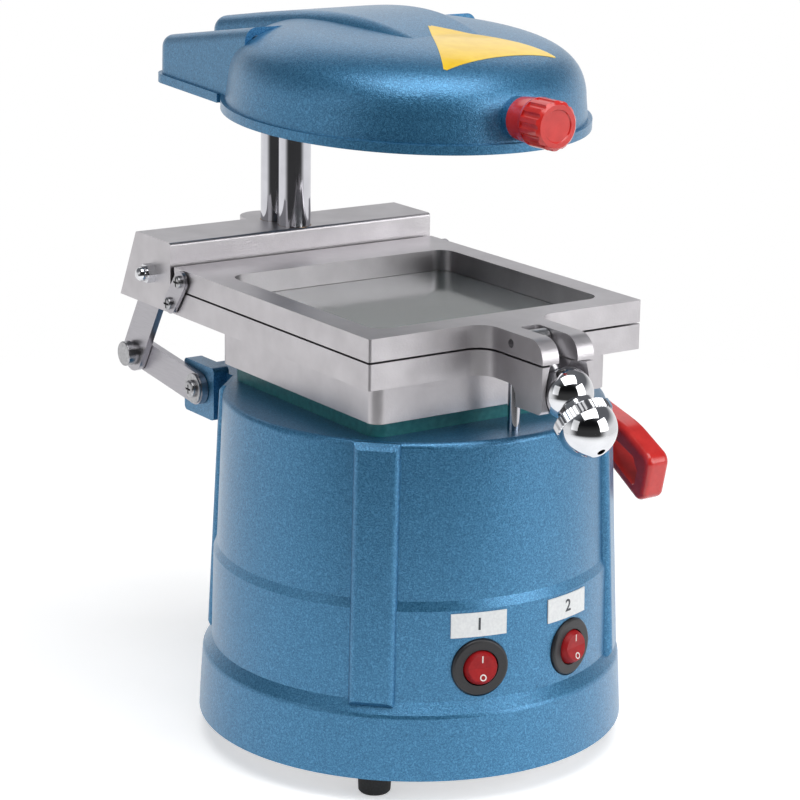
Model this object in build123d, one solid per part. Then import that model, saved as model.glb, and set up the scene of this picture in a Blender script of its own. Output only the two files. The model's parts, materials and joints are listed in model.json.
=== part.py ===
"""Dental vacuum former: heater head over a hinged sheet frame that a lever lowers onto a vacuum base.

Millimetres, +Z up. The origin is on the bench, on the axis of the round base. The clamp and the
switches face -Y, the posts and the linkage are at +Y and the red lever handle is at +X.
"""

from build123d import *
from math import atan2, cos, degrees, hypot, radians, sin, sqrt, tan
import os

# ---------------------------------------------------------------- driving dimensions
FIT_GAP = 0.05  # running clearance of a shaft in its bore, on the radius
PIN_GAP = 0.02  # clearance of a post pressed into its bore, on the radius
FACE_GAP = 0.3  # clearance between faces that slide or swing past each other
SEAT_GAP = 0.15  # clearance of a part laid into its seat

# feet and base casting
FOOT_HEIGHT = 11.0
FOOT_RADIUS = 7.5
FOOT_INSET = 15.0  # from the rim of the casting to the middle of a foot
BASE_RADIUS = 95.0
FLANGE_HEIGHT = 27.9
SHOULDER_HEIGHT = 5.4
SHOULDER_DEPTH = 4.0
LOWER_BAND_HEIGHT = 39.7
BAND_STEP = 1.5
BAND_STEP_HEIGHT = 4.0
BASE_HEIGHT = 144.4  # casting alone, from its lower rim to its flat top
TOP_RADIUS = 84.1
WALL = 4.5
TOP_THICKNESS = 6.0
TOP_ROUND = 2.5
RIB_WIDTH = 20.0
RIB_DEPTH = 2.6
MOTOR_SPACE_INSET = 5.1  # how far the bore for the motor lies inside the top of the wall
BOTTOM_PLATE_THICKNESS = 2.0
PLATE_RECESS = 0.5

# what the casting carries
PLATE_RADIUS = 50.0
PLATE_THICKNESS = 4.0
AIR_HOLE_RADIUS = 1.6
AIR_HOLE_PITCH = 12.5
AIR_HOLE_RINGS = 3
GASKET_HEIGHT = 12.8
GASKET_WALL = 5.0
POST_RADIUS = 7.5
FRONT_POST_Y = 100.0
FRONT_POST_DEPTH = 56.4  # below the top of the casting
FRONT_POST_REACH = 106.6  # above the top of the casting
REAR_POST_Y = 115.8
REAR_POST_DEPTH = 125.4
REAR_POST_REACH = 147.6
PEDESTAL_HALF_WIDTH = 16.0
SHAFT_Y = 82.2
SHAFT_DROP = 8.8  # below the top of the casting
SHAFT_RADIUS = 5.0
BUSH_LENGTH = 8.0
SHAFT_BLOCK_HALF_WIDTH = 60.8
SHAFT_LUG_THICKNESS = 8.0
SHAFT_LUG_FRONT = 11.6  # the four sides of a lug, measured from the shaft
SHAFT_LUG_REAR = 14.6
SHAFT_LUG_RISE = 11.0
SHAFT_LUG_FALL = 13.3
GUIDE_PIN_RADIUS = 2.7
GUIDE_PIN_INSET = 11.1  # from the rim of the top
SWITCH_ANGLE = 15.5
SWITCH_RISE = 47.5  # above the lower rim
SWITCH_BEZEL_RADIUS = 12.5
SWITCH_BARREL_RADIUS = 10.0
ROCKER_RADIUS = 7.6
ROCKER_TILT = 8.0
ROCKER_FACE = 4.2
ROCKER_PIN_RADIUS = 1.0

# vacuum motor and fan inside the casting
MOTOR_RISE = 73.0  # from the lower rim to the motor plate
MOTOR_HEIGHT = 56.0
MOTOR_RADIUS = 44.0
FAN_HEIGHT = 36.0
FAN_RADIUS = 60.0

# carriage: lower frame with a skirt let into it, and the rear bracket that slides on the posts
FRAME_HALF_WIDTH = 70.1
FRAME_FRONT = -68.8
FRAME_REAR = 89.2
FRAME_LIFT = 24.9  # underside of the lower frame above the top of the casting
LOWER_FRAME_THICKNESS = 11.0
UPPER_FRAME_THICKNESS = 9.6
OPENING_HALF_WIDTH = 58.5
OPENING_FRONT = -56.0
OPENING_REAR = 61.3
OPENING_CORNER = 7.6
SHEET_SIDE = 127.0
SHEET_THICKNESS = 0.8
SKIRT_DEPTH = 18.0
SKIRT_SEAT = 3.0  # how far the skirt is let into the lower frame
SKIRT_WALL = 2.6
SKIRT_ARCH = 7.0
SKIRT_CORNER = 5.0
BRACKET_HALF_WIDTH = 70.8
BRACKET_FRONT = 91.5
BRACKET_HEIGHT = 32.1
BRACKET_REAR_LOW = 138.5
BRACKET_REAR_HIGH = 123.1
BRACKET_WALL = 3.0
CARRIAGE_LIFT = 32.0

# front lugs and the swing clamp
LUG_HALF_WIDTH = 13.0
LUG_NOSE = -108.6
LUG_ROOT_FILLET = 9.0
LUG_WEB_DEPTH = 8.9
LUG_WEB_REAR = -91.0
FORK_HALF_WIDTH = 4.75
FORK_REAR = -81.5
FORK_FILLET = 2.0
CLAMP_Y = -87.0
CLAMP_ANGLE = 39.5  # how far the bolt points below the horizontal when it is clamped
CLAMP_PIN_RADIUS = 1.8
BOLT_RADIUS = 3.0
BOLT_EYE_RADIUS = 4.4
BOLT_LENGTH = 48.4
BALL_NUT_RADIUS = 10.9
BALL_NUT_REACH = 27.8  # from the clamp pin to the middle of the ball nut
KNOB_RADIUS = 12.5
KNOB_REACH = 45.9  # from the clamp pin to the middle of the knob's half ball
COLLAR_WIDTH = 5.0
KNURLS = 48
FRAME_OPEN = 15.0
CLAMP_PER_FRAME = 4.0  # degrees that the bolt swings for each degree that the frame opens
NUT_TRAVEL = 24.0

# frame hinge and linkage
HINGE_Y = 80.5
HINGE_SCREW_Y = 89.4
HINGE_SCREW_RISE = 5.2  # above the underside of the lower frame
HINGE_PLATE_THICKNESS = 1.6
HINGE_PLATE_RADIUS = 4.7
HINGE_SCREW_RADIUS = 1.8
LINK_TOP_Y = 107.9
LINK_TOP_DROP = 16.5  # below the top of the bracket
ELBOW_Y = 133.9
ELBOW_RISE = 5.9  # above the lever shaft
LINK_HALF_WIDTH = 8.5
CRANK_HALF_WIDTH = 7.4
LINK_THICKNESS = 3.0
LINK_PIN_RADIUS = 2.5
ELBOW_HEAD_RADIUS = 5.8
ELBOW_PLAY = 2.8  # how far the elbow pin wanders in the crank's eye, on the radius

# lever handle, seen from the side, about the shaft
GRIP_INNER_X = 97.0
GRIP_WIDTH = 12.8
GRIP_ROUND = 3.0
GRIP_START = 49.5  # where the grip begins, measured along the lever from the shaft
LEVER_DROP = 12.0  # how far the lever points below the horizontal
LEVER_BAR_THICKNESS = 5.0
LEVER_BAR_HALF_WIDTH = 5.4
LEVER_HUB_RADIUS = 8.5
LEVER_BAR_X = 71.0

# heater head
HEAD_HALF_WIDTH = 78.0  # over the bead on the lip
HEAD_HALF_LENGTH = 84.2
HEAD_CENTRE_Y = 10.5
HEAD_LIFT = 120.2  # lower rim of the cover above the top of the casting
HEAD_RAKE = 2.5
HEAD_WALL = 3.0
HUB_RADIUS = 13.0
HEAD_HEIGHT = 39.2
HEAD_BOX_HALF_WIDTH = 62.0
HEAD_BOX_REAR = 125.2
HEAD_BOX_HEIGHT = 20.2  # at the rear wall; the top rises forward from there
HEAD_BOX_RISE = 0.2  # slope of the box top
KEEL_HALF_WIDTH = 35.5
KEEL_FRONT_HALF_WIDTH = 20.0
KEEL_ROUND = 8.0
KEEL_HEIGHT = 42.2
LIP_BEAD = 1.4
LIP_BEAD_HEIGHT = 4.0
ELEMENT_RADIUS = 3.2
ELEMENT_RINGS = (26.0, 46.0)
ELEMENT_Z = 10.5
ELEMENT_START = 100.0  # angle where the outer loop starts
ELEMENT_TURN = 50.0  # angle where the rod turns back
ELEMENT_FINISH = 80.0  # angle where the inner loop ends
REFLECTOR_RADIUS = 60.0
REFLECTOR_Z = 17.0
REFLECTOR_SHEET = 1.2
HEATER_KNOB_RADIUS = 10.2
HEATER_KNOB_RISE = 10.8  # above the lower rim of the cover
HEATER_KNOB_SEAT_Y = -74.2
KNOB_STUD_RADIUS = 3.0
HEATER_KNOB_LENGTH = 22.8
HEATER_KNOB_FLUTES = 14

# ---------------------------------------------------------------- places worked out from them
RIM_Z = FOOT_HEIGHT
FLANGE_Z = RIM_Z + FLANGE_HEIGHT
SHOULDER_Z = FLANGE_Z + SHOULDER_HEIGHT
BAND_Z = SHOULDER_Z + LOWER_BAND_HEIGHT
TOP_Z = RIM_Z + BASE_HEIGHT
FOOT_CIRCLE = BASE_RADIUS - FOOT_INSET
INNER_BORE_RADIUS = TOP_RADIUS - WALL - MOTOR_SPACE_INSET
SWITCH_Z = RIM_Z + SWITCH_RISE
SHAFT_Z = TOP_Z - SHAFT_DROP
GUIDE_PIN_Y = GUIDE_PIN_INSET - TOP_RADIUS
FRONT_POST_FOOT = TOP_Z - FRONT_POST_DEPTH
FRONT_POST_TOP = TOP_Z + FRONT_POST_REACH
REAR_POST_FOOT = TOP_Z - REAR_POST_DEPTH
REAR_POST_TOP = TOP_Z + REAR_POST_REACH
MOTOR_TOP_Z = RIM_Z + MOTOR_RISE
FAN_TOP_Z = MOTOR_TOP_Z + FAN_HEIGHT
LOWER_FRAME_Z = TOP_Z + FRAME_LIFT
BRACKET_TOP_Z = LOWER_FRAME_Z + BRACKET_HEIGHT
LUG_WEB_Z = LOWER_FRAME_Z - LUG_WEB_DEPTH
HINGE_SCREW_Z = LOWER_FRAME_Z + HINGE_SCREW_RISE
LINK_TOP_Z = BRACKET_TOP_Z - LINK_TOP_DROP
ELBOW_Z = SHAFT_Z + ELBOW_RISE
HEAD_LIP_Z = TOP_Z + HEAD_LIFT
HEATER_KNOB_Z = HEAD_LIP_Z + HEATER_KNOB_RISE
GASKET_TOP_Z = TOP_Z + GASKET_HEIGHT
SKIRT_HALF_WIDTH = OPENING_HALF_WIDTH + 2.1
SKIRT_INNER = SKIRT_HALF_WIDTH - SKIRT_WALL
SKIRT_FRONT = OPENING_FRONT - 3.0
SKIRT_REAR = OPENING_REAR + 3.4
OPENING_MIDDLE = (OPENING_FRONT + OPENING_REAR) / 2
LOWER_FRAME_TOP = LOWER_FRAME_Z + LOWER_FRAME_THICKNESS
UPPER_FRAME_Z = LOWER_FRAME_TOP + SHEET_THICKNESS + 0.1
UPPER_FRAME_TOP = UPPER_FRAME_Z + UPPER_FRAME_THICKNESS
HINGE_Z = UPPER_FRAME_Z + UPPER_FRAME_THICKNESS / 2
CLAMP_Z = HINGE_Z
LINK_INNER_X = BRACKET_HALF_WIDTH - BRACKET_WALL - FACE_GAP - LINK_THICKNESS
CRANK_INNER_X = LINK_INNER_X - FACE_GAP - LINK_THICKNESS
BOTTOM_PLATE_TOP = RIM_Z + PLATE_RECESS + BOTTOM_PLATE_THICKNESS
REFLECTOR_TOP = REFLECTOR_Z + REFLECTOR_SHEET

os.makedirs("parts", exist_ok=True)


# ---------------------------------------------------------------- helpers
def block(x, y, z):
    """A box between two values on each axis."""
    size = (x[1] - x[0], y[1] - y[0], z[1] - z[0])
    middle = ((x[0] + x[1]) / 2, (y[0] + y[1]) / 2, (z[0] + z[1]) / 2)
    return Pos(*middle) * Box(*size)


def rod(start, end, radius):
    """A round bar from one point to another."""
    line = Vector(*end) - Vector(*start)
    return Plane(origin=start, z_dir=line) * Cylinder(
        radius, line.length, align=(Align.CENTER, Align.CENTER, Align.MIN)
    )


def upright(x, y, low, high, radius):
    return rod((x, y, low), (x, y, high), radius)


def across(y, z, left, right, radius):
    return rod((left, y, z), (right, y, z), radius)


def side_face(wire_points):
    """A face in the YZ plane, from (y, z) points."""
    return make_face(Plane.YZ * Polyline(*wire_points, close=True))


def side_slab(face, left, right):
    """A YZ face made into a slab between two x values."""
    return extrude(Pos(left, 0, 0) * face, right - left, dir=(1, 0, 0))


def link_bar(start, end, half_width, left, right):
    """A flat bar with round ends between two (y, z) points."""
    bar = across(start[0], start[1], left, right, half_width)
    bar += across(end[0], end[1], left, right, half_width)
    reach = hypot(end[0] - start[0], end[1] - start[1])
    turn = degrees(atan2(end[1] - start[1], end[0] - start[0]))
    middle = ((left + right) / 2, (start[0] + end[0]) / 2, (start[1] + end[1]) / 2)
    web = Box(right - left, reach, 2 * half_width)
    return bar + Pos(*middle) * Rot(turn, 0, 0) * web


def polar_points(radius, angles):
    return [(radius * cos(radians(a)), radius * sin(radians(a))) for a in angles]


def revolved(profile):
    """A solid of revolution about Z from a closed (r, z) profile."""
    return revolve(make_face(Plane.XZ * Polyline(*profile, close=True)), Axis.Z, 360)


def mirrored(solid):
    return mirror(solid, Plane.YZ)


def group(solids):
    return Compound(children=list(solids))


def save(name, shape):
    solids = shape.solids() if hasattr(shape, "solids") else list(shape)
    out = solids[0] if len(solids) == 1 else Compound(children=solids)
    export_step(out, f"parts/{name}.step")


RIB_ANGLES = (45, 135, 225, 315)
LOWER_BAND_RADIUS = BASE_RADIUS - 1.7 - SHOULDER_DEPTH


def outer_profile(inset):
    """Half section of the base casting, moved in by a wall thickness."""
    return [
        (BASE_RADIUS - inset, RIM_Z),
        (BASE_RADIUS - 1.7 - inset, FLANGE_Z),
        (LOWER_BAND_RADIUS - inset, SHOULDER_Z),
        (LOWER_BAND_RADIUS - 0.9 - inset, BAND_Z),
        (LOWER_BAND_RADIUS - 0.9 - BAND_STEP - inset, BAND_Z + BAND_STEP_HEIGHT),
        (TOP_RADIUS - inset, TOP_Z),
    ]


# ---------------------------------------------------------------- base casting
def base_shell():
    """Turned body with a flared flange, a waist step and a rounded top edge."""
    outside = revolved([(0, RIM_Z)] + outer_profile(0) + [(0, TOP_Z)])
    top_edge = outside.edges().filter_by(GeomType.CIRCLE).group_by(Axis.Z)[-1]
    outside = fillet(top_edge, TOP_ROUND)
    flange_edge = [
        e
        for e in outside.edges().filter_by(GeomType.CIRCLE)
        if abs(e.center().Z - FLANGE_Z) < 0.1
    ]
    return fillet(flange_edge, 3.0)


def rib(angle):
    """One upright rib: a tapered bar with round flanks that dies into flange and top."""
    low = LOWER_BAND_RADIUS - 0.9 + RIB_DEPTH
    high = TOP_RADIUS + RIB_DEPTH
    face = make_face(
        Plane.XZ
        * Polyline(
            (high - 16, TOP_Z - 0.4),
            (high - 2.5, TOP_Z - 0.4),
            (high, TOP_Z - 3.2),
            (low + 1.2, SHOULDER_Z),
            (low - 4, SHOULDER_Z - 6),
            (low - 16, SHOULDER_Z - 6),
            close=True,
        )
    )
    bar = extrude(face, RIB_WIDTH / 2, both=True)
    flanks = [
        e
        for e in bar.edges()
        if abs(abs(e.center().Y) - RIB_WIDTH / 2) < 0.01
        and e.center().X > min(low, high) - 4
        and e.bounding_box().size.Z > BASE_HEIGHT / 3
    ]
    return Rot(0, 0, angle) * fillet(flanks, 3.4)


def inner_space():
    """The hollow of the casting, open at the bottom."""
    wall = outer_profile(WALL)
    wall[0] = (BASE_RADIUS - WALL, RIM_Z - 1)
    wall[-1] = (TOP_RADIUS - WALL, TOP_Z - TOP_THICKNESS)
    return revolved([(0, RIM_Z - 1)] + wall + [(0, TOP_Z - TOP_THICKNESS)])


def post_pedestal():
    """The rear column of the casting that holds both posts and the shaft block."""
    column = block(
        (-PEDESTAL_HALF_WIDTH, PEDESTAL_HALF_WIDTH), (70, REAR_POST_Y), (RIM_Z, TOP_Z)
    )
    column += upright(0, REAR_POST_Y, RIM_Z, TOP_Z, PEDESTAL_HALF_WIDTH)
    return column


def shaft_block():
    """Two lugs for the lever shaft, on a neck that joins the curved wall of the casting."""
    inner = SHAFT_BLOCK_HALF_WIDTH - SHAFT_LUG_THICKNESS
    lug = block(
        (inner, SHAFT_BLOCK_HALF_WIDTH),
        (SHAFT_Y - SHAFT_LUG_FRONT, SHAFT_Y + SHAFT_LUG_REAR),
        (SHAFT_Z - SHAFT_LUG_FALL, SHAFT_Z + SHAFT_LUG_RISE),
    )
    lug = fillet(lug.edges().filter_by(Axis.X), 2.0)
    neck = block((-inner - 1, inner + 1), (40, SHAFT_Y + 8.5), (SHAFT_Z - 9.5, TOP_Z - 0.5))
    return neck + lug + mirrored(lug)


def switch_plane(side):
    """A plane on the casting wall at one switch, with Z pointing out and Y up."""
    angle = -90 + side * SWITCH_ANGLE
    reach = LOWER_BAND_RADIUS - 1.3
    x, y = polar_points(reach, [angle])[0]
    out = (cos(radians(angle)), sin(radians(angle)), 0)
    return Plane(origin=(x, y, SWITCH_Z), x_dir=(-out[1], out[0], 0), z_dir=out)


def plate_holes():
    """Centres of the air holes: a hexagon pattern of equal pitch."""
    spots = []
    for q in range(-AIR_HOLE_RINGS, AIR_HOLE_RINGS + 1):
        for r in range(-AIR_HOLE_RINGS, AIR_HOLE_RINGS + 1):
            if abs(q + r) <= AIR_HOLE_RINGS:
                spots.append((AIR_HOLE_PITCH * (q + r / 2), AIR_HOLE_PITCH * r * sqrt(3) / 2))
    return spots


def base_housing():
    body = base_shell()
    for angle in RIB_ANGLES:
        body += rib(angle)
    body -= inner_space()
    body += shaft_block() + post_pedestal()
    body -= upright(0, 0, RIM_Z - 1, BOTTOM_PLATE_TOP, BASE_RADIUS - WALL)
    body -= upright(0, 0, RIM_Z, TOP_Z - TOP_THICKNESS, INNER_BORE_RADIUS)
    # bosses that take the foot screws, each on a web from the wall
    for angle in RIB_ANGLES:
        boss = upright(FOOT_CIRCLE, 0, BOTTOM_PLATE_TOP, FLANGE_Z, 6.5)
        boss += block((FOOT_CIRCLE, BASE_RADIUS - WALL + 1), (-4, 4), (BOTTOM_PLATE_TOP, FLANGE_Z))
        boss -= upright(FOOT_CIRCLE, 0, RIM_Z, FLANGE_Z - 6, 2.0)
        body += Rot(0, 0, angle) * boss
    # seat and throat of the perforated plate
    body -= upright(0, OPENING_MIDDLE, TOP_Z - PLATE_THICKNESS, TOP_Z + 1, PLATE_RADIUS + SEAT_GAP)
    body -= upright(0, OPENING_MIDDLE, TOP_Z - 20, TOP_Z, PLATE_RADIUS - 5)
    # bores for posts, shaft and guide pin
    body -= upright(0, FRONT_POST_Y, FRONT_POST_FOOT, TOP_Z + 1, POST_RADIUS + PIN_GAP)
    body -= upright(0, REAR_POST_Y, REAR_POST_FOOT, TOP_Z + 1, POST_RADIUS + PIN_GAP)
    body -= across(SHAFT_Y, SHAFT_Z, -70, 70, SHAFT_RADIUS + 0.8)
    for side in (-1, 1):
        mouth = side * (SHAFT_BLOCK_HALF_WIDTH - BUSH_LENGTH)
        body -= across(SHAFT_Y, SHAFT_Z, mouth, side * 70, SHAFT_RADIUS + 2)
    body -= upright(0, GUIDE_PIN_Y, TOP_Z - 4.5, TOP_Z + 1, GUIDE_PIN_RADIUS)
    # switch openings on small flats
    for side in (-1, 1):
        at = switch_plane(side)
        body -= at * Pos(0, 0, 10) * Cylinder(SWITCH_BEZEL_RADIUS + 0.3, 20)
        body -= at * Cylinder(SWITCH_BARREL_RADIUS + SEAT_GAP, 40)
    # exhaust slots low on the rear and the hole of the mains gland
    for step in range(-4, 5):
        slot = Pos(-BASE_RADIUS + 4, 0, RIM_Z + 14) * Box(24, 3.2, 15)
        body -= Rot(0, 0, -58 + 7 * step) * slot
    return body - gland_place() * Cylinder(6, 24)


def gland_place():
    return Rot(0, 0, 30) * Pos(0, BASE_RADIUS - 2.4, RIM_Z + 14) * Rot(90, 0, 0)


def cord_gland():
    """A rubber grommet in the rear wall, where a mains lead would pass."""
    ring = Cylinder(5.9, 8) + Pos(0, 0, -3.4) * Cylinder(8.2, 2.4)
    return gland_place() * (ring - Cylinder(3.2, 20))


def bottom_plate():
    radius = BASE_RADIUS - WALL - SEAT_GAP
    plate = upright(0, 0, BOTTOM_PLATE_TOP - BOTTOM_PLATE_THICKNESS, BOTTOM_PLATE_TOP, radius)
    for x, y in polar_points(FOOT_CIRCLE, RIB_ANGLES):
        plate -= upright(x, y, 0, FLANGE_Z, 2.3)
    for ring in (30, 40, 50):
        for x, y in polar_points(ring, range(0, 360, 30)):
            plate -= upright(x, y, 0, FLANGE_Z, 2.4)
    return plate


def feet():
    top = RIM_Z + PLATE_RECESS
    profile = [(2.3, 3), (5, 3), (5, 0), (6.2, 0), (6.9, 0.8), (FOOT_RADIUS, top), (2.3, top)]
    foot = revolved(profile)
    return group(Pos(x, y, 0) * foot for x, y in polar_points(FOOT_CIRCLE, RIB_ANGLES))


def foot_screws():
    solids = []
    for x, y in polar_points(FOOT_CIRCLE, RIB_ANGLES):
        head = upright(x, y, 0.8, 3.0, 3.8)
        solids.append(head + upright(x, y, 2.5, FLANGE_Z - 8, 2.0))
    return group(solids)


def vacuum_plate():
    plate = upright(0, OPENING_MIDDLE, TOP_Z - PLATE_THICKNESS, TOP_Z, PLATE_RADIUS)
    for x, y in plate_holes():
        plate -= upright(x, y + OPENING_MIDDLE, TOP_Z - 10, TOP_Z + 10, AIR_HOLE_RADIUS)
    return plate


def gasket():
    """Square silicone ring with round corners, which the skirt drops around."""
    half = SKIRT_INNER - FACE_GAP - 0.1
    at = Pos(0, OPENING_MIDDLE, TOP_Z)
    outer = extrude(RectangleRounded(2 * half, 2 * half, 7), GASKET_HEIGHT)
    outer = chamfer(outer.edges().group_by(Axis.Z)[-1], 0.8)
    side = 2 * (half - GASKET_WALL)
    return at * (outer - extrude(RectangleRounded(side, side, 4), GASKET_HEIGHT))


def guide_pin():
    top = LOWER_FRAME_Z + 6
    pin = upright(0, GUIDE_PIN_Y, TOP_Z - 4.5, top, GUIDE_PIN_RADIUS)
    return chamfer(pin.edges().group_by(Axis.Z)[-1], 1.0)


def front_post():
    post = upright(0, FRONT_POST_Y, FRONT_POST_FOOT, FRONT_POST_TOP, POST_RADIUS)
    return chamfer(post.edges().group_by(Axis.Z)[-1], 1.0)


def rear_post():
    post = upright(0, REAR_POST_Y, REAR_POST_FOOT, REAR_POST_TOP, POST_RADIUS)
    return chamfer(post.edges().group_by(Axis.Z)[-1], 1.0)


def shaft_bushes():
    end = SHAFT_BLOCK_HALF_WIDTH
    bush = across(SHAFT_Y, SHAFT_Z, end - BUSH_LENGTH, end, SHAFT_RADIUS + 2)
    bush -= across(SHAFT_Y, SHAFT_Z, end - BUSH_LENGTH - 1, end + 1, SHAFT_RADIUS + FIT_GAP)
    return group([bush, mirrored(bush)])


# ---------------------------------------------------------------- switches
def switch_body():
    """Round snap-in rocker switch: bezel, barrel, hollow for the rocker and two blades."""
    body = Pos(0, 0, 1) * Cylinder(SWITCH_BEZEL_RADIUS, 2)
    body = fillet(body.edges().group_by(Axis.Z)[-1], 1.2)
    body += Pos(0, 0, -8) * Cylinder(SWITCH_BARREL_RADIUS, 16)
    body -= Pos(0, 0, 0) * Cylinder(ROCKER_RADIUS + 0.35, 18)
    body -= Rot(0, 90, 0) * Cylinder(ROCKER_PIN_RADIUS + FIT_GAP, 2 * ROCKER_RADIUS + 2.4)
    for x in (-4, 4):
        body += Pos(x, 0, -19) * Box(0.8, 6, 8)
    return body


def rocker():
    """Rocker turned about its pin: ball-shaped ends and a shallow valley in front."""
    body = Sphere(ROCKER_RADIUS)
    rise = 12 * tan(radians(ROCKER_TILT))
    valley = [(-12, 12), (-12, ROCKER_FACE + rise), (0, ROCKER_FACE), (12, ROCKER_FACE + rise), (12, 12)]
    body -= side_slab(side_face(valley), -20, 20)
    body -= Pos(0, 0, -12) * Box(40, 40, 16)
    body += Rot(0, 90, 0) * Cylinder(ROCKER_PIN_RADIUS, 2 * ROCKER_RADIUS + 2)
    return Rot(-ROCKER_TILT, 0, 0) * body


# ---------------------------------------------------------------- vacuum motor
def vacuum_motor():
    low = MOTOR_TOP_Z - MOTOR_HEIGHT
    can = upright(0, OPENING_MIDDLE, low, MOTOR_TOP_Z, MOTOR_RADIUS)
    can = fillet(can.edges().group_by(Axis.Z)[0], 5)
    can += upright(0, OPENING_MIDDLE, low - 6, low + 2, 14)
    for angle in range(0, 360, 45):
        slot = Pos(MOTOR_RADIUS, 0, low + 16) * Box(6, 10, 16)
        can -= Pos(0, OPENING_MIDDLE, 0) * Rot(0, 0, angle) * slot
    return can - upright(0, OPENING_MIDDLE, MOTOR_TOP_Z - 24, MOTOR_TOP_Z + 1, 4 + FIT_GAP)


def motor_plate():
    radius = INNER_BORE_RADIUS - 4.5
    plate = upright(0, OPENING_MIDDLE, MOTOR_TOP_Z, MOTOR_TOP_Z + 3, radius)
    plate -= upright(0, OPENING_MIDDLE, MOTOR_TOP_Z - 1, MOTOR_TOP_Z + 4, 6)
    for x, y in polar_points(radius - 5, range(15, 375, 90)):
        plate -= upright(x, y + OPENING_MIDDLE, MOTOR_TOP_Z - 1, MOTOR_TOP_Z + 4, 2.2)
    return plate


def fan_housing():
    low = MOTOR_TOP_Z + 3
    shell = upright(0, OPENING_MIDDLE, low, FAN_TOP_Z, FAN_RADIUS)
    shell = fillet(shell.edges().group_by(Axis.Z)[-1], 4)
    shell -= upright(0, OPENING_MIDDLE, low - 1, FAN_TOP_Z - 2, FAN_RADIUS - 2)
    return shell - upright(0, OPENING_MIDDLE, low, FAN_TOP_Z + 1, 20)


def impeller():
    """Backplate, shroud and swept blades on the motor shaft."""
    low = MOTOR_TOP_Z + 7
    at = Pos(0, OPENING_MIDDLE, 0)
    wheel = upright(0, 0, low, low + 2, 54)
    wheel += upright(0, 0, low + 18, low + 20, 54) - upright(0, 0, low, low + 30, 22)
    wheel += upright(0, 0, low, low + 12, 9)
    blade = Plane.XY * (CenterArc((14, 30), 34, -100, 78))
    strip = trace(blade, 1.4)
    for angle in range(0, 360, 45):
        wheel += Rot(0, 0, angle) * Pos(0, 0, low + 1) * extrude(strip, 18)
    wheel += upright(0, 0, MOTOR_TOP_Z - 22, low + 14, 4)
    return at * wheel


def suction_ring():
    """Rubber funnel between the fan eye and the underside of the casting top."""
    under = TOP_Z - TOP_THICKNESS
    profile = [
        (24, FAN_TOP_Z),
        (30, FAN_TOP_Z),
        (30, under - 9),
        (56, under - 3),
        (56, under),
        (46, under),
        (24, under - 5),
    ]
    return Pos(0, OPENING_MIDDLE, 0) * revolved(profile)


# ---------------------------------------------------------------- frames
def frame_plan(half_width, front, rear):
    """Plan of a frame with the front tongue, before the opening is cut."""
    tongue_root = front
    points = [
        (-half_width, rear),
        (-half_width, front),
        (-LUG_HALF_WIDTH, tongue_root),
        (-LUG_HALF_WIDTH, LUG_NOSE),
        (LUG_HALF_WIDTH, LUG_NOSE),
        (LUG_HALF_WIDTH, tongue_root),
        (half_width, front),
        (half_width, rear),
    ]
    plan = make_face(Polyline(*points, close=True))
    roots = [
        v for v in plan.vertices() if abs(abs(v.X) - LUG_HALF_WIDTH) < 0.01 and v.Y > LUG_NOSE + 1
    ]
    plan = fillet(roots, LUG_ROOT_FILLET)
    corners = [v for v in plan.vertices() if abs(v.Y - front) < 0.01 and abs(v.X) > half_width - 1]
    return fillet(corners, 1.2)


def opening_cut(half_width, low, high):
    shape = RectangleRounded(2 * half_width, OPENING_REAR - OPENING_FRONT, OPENING_CORNER)
    return Pos(0, OPENING_MIDDLE, low) * extrude(shape, high - low)


def fork_cut(low, high):
    """The slot that the clamp bolt swings in, open at the nose."""
    slot = block((-FORK_HALF_WIDTH, FORK_HALF_WIDTH), (LUG_NOSE - 5, FORK_REAR), (low, high))
    inner = [e for e in slot.edges().filter_by(Axis.Z) if e.center().Y > LUG_NOSE]
    return fillet(inner, FORK_FILLET)


def clamp_direction(angle):
    """Unit (y, z) of the bolt when it points an angle below the horizontal."""
    return (-cos(radians(angle)), -sin(radians(angle)))


def ball_centre(opened):
    """(y, z) of the ball nut when the frame is open by some degrees."""
    aim = clamp_direction(CLAMP_ANGLE - CLAMP_PER_FRAME * opened)
    reach = BALL_NUT_REACH + NUT_TRAVEL * opened / FRAME_OPEN
    y = CLAMP_Y + aim[0] * reach - HINGE_Y
    z = CLAMP_Z + aim[1] * reach - HINGE_Z
    turn = radians(-opened)
    return (HINGE_Y + y * cos(turn) - z * sin(turn), HINGE_Z + y * sin(turn) + z * cos(turn))


def ball_seat():
    """The cup under the lower nose, shaped by the way that the ball nut leaves it."""
    radius = BALL_NUT_RADIUS + FACE_GAP
    first = ball_centre(0)
    middle = ball_centre(1.6)
    last = ball_centre(4.5)
    cut = Pos(0, *first) * Sphere(radius)
    cut += rod((0, *first), (0, *middle), radius)
    cut += Pos(0, *middle) * Sphere(radius)
    cut += rod((0, *middle), (0, *last), radius)
    aim = clamp_direction(CLAMP_ANGLE)
    far = (first[0] + 20 * aim[0], first[1] + 20 * aim[1])
    return cut + rod((0, *first), (0, *far), radius - 0.6)


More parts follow.
